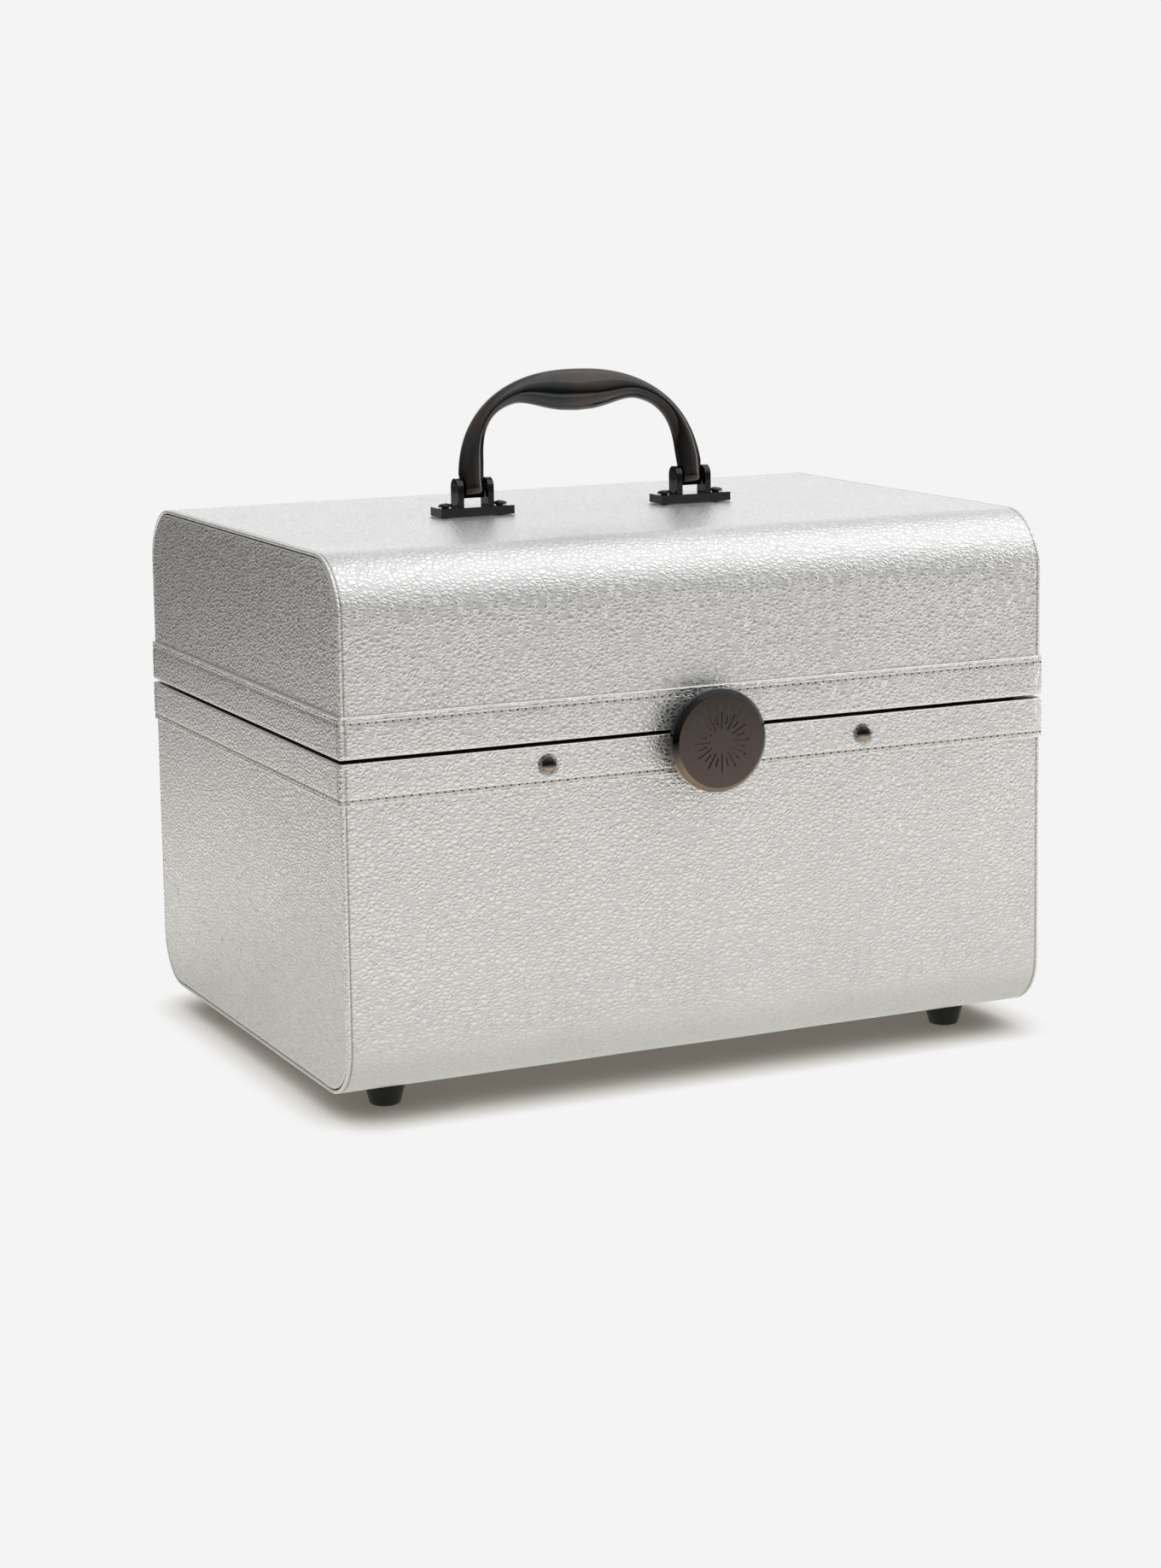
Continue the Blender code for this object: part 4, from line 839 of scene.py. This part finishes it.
def handle_sections():
    """Centre, half thickness vector and half depth of each section, from right to left."""
    foot = []
    for angle in (-84, -72, -58, -44, -30, -15, 0, 20, 45):
        height = HANDLE_LEG_HALF * sin(radians(angle))
        depth = HANDLE_LEG_HALF * (cos(radians(angle)) if angle < 0 else 1.0)
        narrow = HANDLE_TONGUE_HALF - (0.5 * MM if angle < -80 else 0.15 * MM if angle < -70 else 0.0)
        foot.append(((HANDLE_SPACING / 2, height), (narrow, 0.0), depth))
    arch = []
    steps = 120
    for i in range(steps + 1):
        angle = pi * i / steps
        x_out, z_out = superellipse((HANDLE_SPACING + HANDLE_LEG) / 2, *HANDLE_OUTER, angle)
        x_in, z_in = superellipse((HANDLE_SPACING - HANDLE_LEG) / 2, *HANDLE_INNER, angle)
        bell = (1 - min(abs(x_in) / HANDLE_GRIP_HALF, 1.0) ** HANDLE_GRIP_POWER) ** 2
        z_in -= HANDLE_SWELL * bell
        depth = HANDLE_LEG_HALF + (HANDLE_GRIP_HALF_DEPTH - HANDLE_LEG_HALF) * bell
        centre = ((x_out + x_in) / 2, (z_out + z_in) / 2)
        half = ((x_out - x_in) / 2, (z_out - z_in) / 2)
        arch.append((centre, half, depth))
    arch = [item for item in arch if item[0][1] - abs(item[1][1]) > 5.2 * MM]
    mirrored = [((-x, z), (-half_x, half_z), depth) for (x, z), (half_x, half_z), depth in reversed(foot)]
    return foot + arch + mirrored


def make_handle():
    rows = []
    ring = 36
    for (x, z), (half_x, half_z), depth in handle_sections():
        row = []
        for i in range(ring):
            angle = 2 * pi * i / ring
            row.append((x + half_x * cos(angle), depth * sin(angle), z + half_z * cos(angle)))
        rows.append(row)
    mesh = grid_mesh("handle_arch", rows)
    mesh.transform(Matrix.Translation(PIVOT) @ Matrix.Rotation(-HANDLE_LEAN, 4, "X"))
    add_piece("handle_arch", mesh, GUNMETAL, "handle", ("handle",), sharp=60)


# ---------------------------------------------------------------- fittings
def bevel(node, width, material, segments=3, sharp=35):
    """A CAD piece kept as it is, with eased edges and a finish."""
    piece = NODES[node]
    piece.data.materials.clear()
    piece.data.materials.append(material)
    edges = piece.modifiers.new("eased_edges", "BEVEL")
    edges.width = width
    edges.segments = segments
    edges.limit_method = "ANGLE"
    edges.angle_limit = radians(30)
    edges.harden_normals = False
    piece.data.shade_smooth()
    piece.data.set_sharp_from_angle(angle=radians(sharp))


def finish_cad():
    """Finishes for the CAD nodes that are shown as they are."""
    for side in ("left", "right"):
        bevel(f"handle_bracket_{side}", 0.45 * MM, BLACKENED)
        bevel(f"handle_pivot_pin_{side}", 0.15 * MM, GUNMETAL)
        bevel(f"hinge_pin_{side}", 0.15 * MM, GUNMETAL)
        for half in ("base", "lid"):
            bevel(f"hinge_leaf_{half}_{side}", 0.25 * MM, GUNMETAL)
    bevel("latch_housing", 0.25 * MM, BLACKENED)
    bevel("latch_cam", 0.2 * MM, STEEL)
    bevel("latch_keeper", 0.2 * MM, STEEL)
    bevel("base_rim_frame", 0.6 * MM, PLASTIC)
    bevel("tray", 0.6 * MM, PLASTIC)
    bevel("tray_divider", 0.6 * MM, PLASTIC)
    bevel("mirror_frame", 0.5 * MM, SATIN)
    bevel("mirror_glass", 0.3 * MM, MIRROR)
    for name in NODES:
        if name.endswith("board") or "_end_board_" in name:
            bevel(name, 0.2 * MM, BOARD)


def screw_mesh(name, head_radius, head_height, shank_radius, length, slot_width):
    """A pan-headed screw along +Z with a driver slot."""
    profile = [(0, head_height)]
    for i in range(1, 9):
        angle = pi / 2 * i / 8
        profile.append((head_radius * sin(angle), head_height * (0.25 + 0.75 * cos(angle))))
    profile += [(head_radius, 0), (shank_radius, 0), (shank_radius, -length + shank_radius), (0, -length)]
    mesh = turned_mesh(name, profile, 32)
    if not slot_width:
        return mesh
    cut = bmesh.new()
    size = Matrix.Diagonal((3 * head_radius, slot_width, head_height, 1))
    bmesh.ops.create_cube(cut, size=1.0, matrix=Matrix.Translation((0, 0, head_height)) @ size)
    cutter_mesh = bpy.data.meshes.new(name + "_slot")
    cut.to_mesh(cutter_mesh)
    cut.free()
    return cut_mesh(mesh, [cutter_mesh])


def cut_mesh(mesh, cutters):
    """The mesh with every cutter taken out of it."""
    piece = bpy.data.objects.new(mesh.name, mesh)
    bpy.context.scene.collection.objects.link(piece)
    tools = []
    for cutter in cutters:
        tool = bpy.data.objects.new(cutter.name, cutter)
        bpy.context.scene.collection.objects.link(tool)
        change = piece.modifiers.new("cut", "BOOLEAN")
        change.object = tool
        change.solver = "EXACT"
        tools.append(tool)
    bpy.context.view_layer.update()
    ready = piece.evaluated_get(bpy.context.evaluated_depsgraph_get())
    made = bpy.data.meshes.new_from_object(ready)
    made.name = mesh.name
    for item in (piece, *tools):
        bpy.data.objects.remove(item)
    return made


def make_screws():
    """Every visible screw and rivet, standing where its CAD node stands."""
    # Head radius, head height, shank radius and slot width in mm, the way out, the finish and its slot.
    kinds = {
        "bracket_screw": (2.9, 1.5, 1.4, 0.55, Vector((0, 0, 1)), BLACKENED, "gunmetal"),
        "hinge_screw": (2.2, 1.1, 1.1, 0.45, Vector((0, 1, 0)), GUNMETAL, "gunmetal"),
        "latch_screw": (1.9, 1.2, 1.0, 0.45, Vector((0, -1, 0)), STEEL, "steel"),
        "foot_screw": (2.7, 1.5, 1.4, 0.5, Vector((0, 0, -1)), STEEL, "steel"),
        "band_rivet": (2.9, 1.6, 1.5, 0.0, Vector((0, -1, 0)), RIVET_METAL, "gunmetal"),
    }
    for kind, (head, height, shank, slot_width, out, material, slot) in kinds.items():
        names = sorted(name for name in NODES if name.startswith(kind))
        mesh = None
        for count, name in enumerate(names):
            low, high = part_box(name)
            middle = (low + high) / 2
            tip = Vector([high[i] if out[i] > 0 else low[i] if out[i] < 0 else middle[i] for i in range(3)])
            length = abs((high - low).dot(out)) - height * MM
            if mesh is None:
                mesh = screw_mesh(kind, head * MM, height * MM, shank * MM, length, slot_width * MM)
            turn = Matrix.Rotation(radians(37 + 53 * count) if slot_width else 0.0, 4, "Z")
            facing = out.to_track_quat("Z", "Y").to_matrix().to_4x4()
            matrix = Matrix.Translation(tip - out * height * MM) @ facing @ turn
            body = NODES[name]["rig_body"]
            add_piece(name + "_fine", mesh, material, body, (name,), matrix, sharp=35)


def make_knob():
    """The latch's turned knob with an engraved ring of rays."""
    low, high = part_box("latch_knob")
    radius = (high.z - low.z) / 2
    front = low.y
    depth = high.y - low.y
    disc = 4.6 * MM
    ease = 0.35 * MM
    cone = 1.8 * MM
    profile = [(0, 0), (radius - cone - ease, 0)]
    profile += [(radius - cone - ease * 0.3, -ease * 0.1), (radius - cone + ease * 0.5, -ease * 0.6)]
    profile += [(radius - ease * 0.5, -cone + ease * 0.4), (radius - ease * 0.1, -cone - ease * 0.1)]
    profile += [(radius, -cone - ease), (radius, -disc + ease), (radius - ease, -disc)]
    profile += [(2.5 * MM, -disc), (2.5 * MM, -depth), (0, -depth)]
    mesh = turned_mesh("latch_knob_fine", profile, 128)
    rays = bmesh.new()
    for i in range(24):
        angle = 2 * pi * i / 24
        inner, outer = (6.6 * MM, 10.0 * MM) if i % 2 else (5.0 * MM, 11.6 * MM)
        size = Matrix.Diagonal((outer - inner, 0.7 * MM, 0.8 * MM, 1))
        place = Matrix.Rotation(angle, 4, "Z") @ Matrix.Translation(((outer + inner) / 2, 0, 0)) @ size
        bmesh.ops.create_cube(rays, size=1.0, matrix=place)
    cutter = bpy.data.meshes.new("rays")
    rays.to_mesh(cutter)
    rays.free()
    mesh = cut_mesh(mesh, [cutter])
    mesh.materials.append(KNOB_METAL)
    mesh.materials.append(SATIN)
    for face in mesh.polygons:
        in_front = face.center.z > -1 * MM
        inside = face.center.xy.length < radius - cone - 2 * ease
        face.material_index = 1 if in_front and (inside or abs(face.normal.z) > 0.9) else 0
    smooth(mesh, 25)
    matrix = Matrix.Translation((0, front, (low.z + high.z) / 2)) @ Matrix.Rotation(pi / 2, 4, "X")
    add_piece("latch_knob_fine", mesh, KNOB_METAL, "latch", ("latch_knob",), matrix)


def make_feet():
    """Tapered rubber feet with eased edges."""
    for name in sorted(name for name in NODES if name.startswith("foot_") and "screw" not in name):
        low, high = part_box(name)
        top = high.z - low.z
        profile = [(0, top), (7.7 * MM, top), (8.2 * MM, top - 0.4 * MM), (8.2 * MM, top - 1.5 * MM)]
        profile += [(7.9 * MM, top - 2.1 * MM), (6.1 * MM, 0.8 * MM), (5.8 * MM, 0.25 * MM), (5.3 * MM, 0)]
        profile += [(3.4 * MM, 0), (3.2 * MM, 0.2 * MM), (3.2 * MM, 2 * MM), (0, 2 * MM)]
        mesh = turned_mesh(name + "_fine", profile, 48)
        middle = (low + high) / 2
        matrix = Matrix.Translation((middle.x, middle.y, low.z))
        add_piece(name + "_fine", mesh, RUBBER, "base", (name,), matrix)


# ---------------------------------------------------------------- studio
CAMERA_AZIMUTH = radians(24.94)
CAMERA_ELEVATION = radians(8.408)
CAMERA_ROLL = radians(-0.824)
CAMERA_DISTANCE = 1321.16 * MM
CAMERA_TARGET = Vector((0, CASE_Y, 157.05 * MM))
CAMERA_LENS = 73.447
CAMERA_SHIFT = (-0.0029, -0.0889)
PAPER = 0.9047
# The floor's shade to the eye, by how much of the sky the nearby case hides.
SHADE_REACH = 24 * MM
FLOOR_SHADES = (
    (0.0, (0.11, 0.10, 0.085)), (0.3, (0.20, 0.18, 0.155)), (0.6, (0.62, 0.595, 0.56)), (0.87, (PAPER,) * 3),
)
# The floor's light on the case: bright parts, each with its middle, start and end of its fade, and
# brightness at both, and the darker ground close to the case.
FLOOR_POOLS = (
    ((0.2, -0.35, 0.0), 0.35, 1.3, 1.05, 0.07),
    ((-0.3, 0.35, 0.0), 0.1, 0.78, 0.97, 0.04),
)
FLOOR_WARMTH = (1.0, 0.975, 0.92)
SHADOW_REACH = 140 * MM
SHADOW_LIGHT = 0.64
# The sky's light by height, and its two glows: where, the fade from its rim inwards, and its strength.
SKY_LIGHT = ((0.0, 0.10), (0.12, 0.15), (0.5, 0.42), (1.0, 0.5))
CEILING_GLOW = (Vector((0.42, -0.2, 0.9)).normalized(), (0.2, 0.92), 0.82)
BACKDROP_GLOW = (Vector((0.42, 0.90, 0.12)).normalized(), (0.72, 0.97), 1.1)
# Each softbox's place, size and power.
SOFTBOXES = {
    "overhead_softbox": ((0.5, -0.25, 1.25), (1.5, 1.1), 2.8),
    "right_strip": ((1.6, -0.7, 0.7), (0.3, 1.4), 4),
}


def make_camera():
    data = bpy.data.cameras.new("camera")
    camera = bpy.data.objects.new("camera", data)
    bpy.context.scene.collection.objects.link(camera)
    flat = cos(CAMERA_ELEVATION)
    back = Vector((-sin(CAMERA_AZIMUTH) * flat, -cos(CAMERA_AZIMUTH) * flat, sin(CAMERA_ELEVATION)))
    right = Vector((cos(CAMERA_AZIMUTH), -sin(CAMERA_AZIMUTH), 0))
    up = back.cross(right)
    turned_right = right * cos(CAMERA_ROLL) + up * sin(CAMERA_ROLL)
    turned_up = up * cos(CAMERA_ROLL) - right * sin(CAMERA_ROLL)
    matrix = Matrix((turned_right, turned_up, back)).transposed().to_4x4()
    matrix.translation = CAMERA_TARGET + back * CAMERA_DISTANCE
    camera.matrix_world = matrix
    data.lens = CAMERA_LENS
    data.sensor_width = 36
    data.shift_x, data.shift_y = CAMERA_SHIFT
    data.clip_end = 20
    bpy.context.scene.camera = camera


def make_floor():
    """A pale floor that glows, even to the eye, with a painted shadow where the case stands on it.

    Its glow on the case is uneven, painted pools of light as a studio floor's are, so that the foil has
    something to mirror.
    """
    mesh = bpy.data.meshes.new("floor")
    shape = bmesh.new()
    bmesh.ops.create_grid(shape, x_segments=1, y_segments=1, size=8.0)
    shape.to_mesh(mesh)
    shape.free()
    floor = bpy.data.objects.new("floor", mesh)
    bpy.context.scene.collection.objects.link(floor)
    material = bpy.data.materials.new("pale_floor")
    material.use_nodes = True
    tree = material.node_tree
    tree.nodes.clear()
    near = add_node(tree, "AmbientOcclusion", {"Distance": SHADE_REACH}, samples=16).outputs["AO"]
    shade = ramp(tree, near, FLOOR_SHADES)
    place = object_place(tree)
    split = add_node(tree, "SeparateXYZ", {"Vector": place}).outputs
    pools = []
    for middle, start, stop, bright, dark in FLOOR_POOLS:
        away = vector_maths(tree, "DISTANCE", place, middle)
        pools.append(remap(tree, away, (start, stop), (bright, dark), "SMOOTHSTEP"))
    across = maths(tree, "SUBTRACT", maths(tree, "ABSOLUTE", split["X"]), HALF_WIDTH)
    deep = maths(tree, "SUBTRACT", maths(tree, "ABSOLUTE", split["Y"]), HALF_DEPTH)
    beside = maths(tree, "MAXIMUM", across, deep)
    shadow = remap(tree, beside, (0.0, SHADOW_REACH), (SHADOW_LIGHT, 1.0), "SMOOTHSTEP")
    pool = maths(tree, "MULTIPLY", maths(tree, "MAXIMUM", *pools), shadow)
    pool = mix_colour(tree, 1.0, pool, (*FLOOR_WARMTH, 1), "MULTIPLY")
    seen = add_node(tree, "LightPath").outputs["Is Camera Ray"]
    glow = add_node(tree, "Emission", {"Color": mix_colour(tree, seen, pool, shade)})
    out = add_node(tree, "OutputMaterial")
    tree.links.new(glow.outputs[0], out.inputs["Surface"])
    mesh.materials.append(material)


def make_world():
    """Even pale paper to the eye. For the light, a glowing ceiling and backdrop over darker walls."""
    world = bpy.data.worlds.new("studio")
    bpy.context.scene.world = world
    world.use_nodes = True
    tree = world.node_tree
    tree.nodes.clear()
    way = add_node(tree, "TexCoord").outputs["Generated"]
    height = add_node(tree, "SeparateXYZ", {"Vector": way}).outputs["Z"]
    light = ramp(tree, height, SKY_LIGHT)
    for middle, fade, strength in (CEILING_GLOW, BACKDROP_GLOW):
        towards = vector_maths(tree, "DOT_PRODUCT", way, middle)
        glow = remap(tree, towards, fade, (0.0, strength), "SMOOTHSTEP")
        light = maths(tree, "MAXIMUM", light, glow)
    seen = add_node(tree, "LightPath").outputs["Is Camera Ray"]
    colour = mix_colour(tree, seen, light, (PAPER, PAPER, PAPER, 1))
    background = add_node(tree, "Background", {"Color": colour, "Strength": 1.0})
    out = add_node(tree, "OutputWorld")
    tree.links.new(background.outputs[0], out.inputs["Surface"])


def add_softbox(name, place, aim, size, power):
    data = bpy.data.lights.new(name, "AREA")
    data.shape = "RECTANGLE"
    data.size, data.size_y = size
    data.energy = power
    light = bpy.data.objects.new(name, data)
    bpy.context.scene.collection.objects.link(light)
    light.location = place
    light.rotation_euler = (Vector(aim) - Vector(place)).to_track_quat("-Z", "Y").to_euler()


def make_lights():
    for name, (place, size, power) in SOFTBOXES.items():
        add_softbox(name, place, (0, CASE_Y, PARTING_Z), size, power)


make_leatherwork()
make_handle()
finish_cad()
make_screws()
make_knob()
make_feet()
make_camera()
make_floor()
make_world()
make_lights()

scene = bpy.context.scene
scene.view_settings.view_transform = "Standard"
scene.view_settings.look = "None"
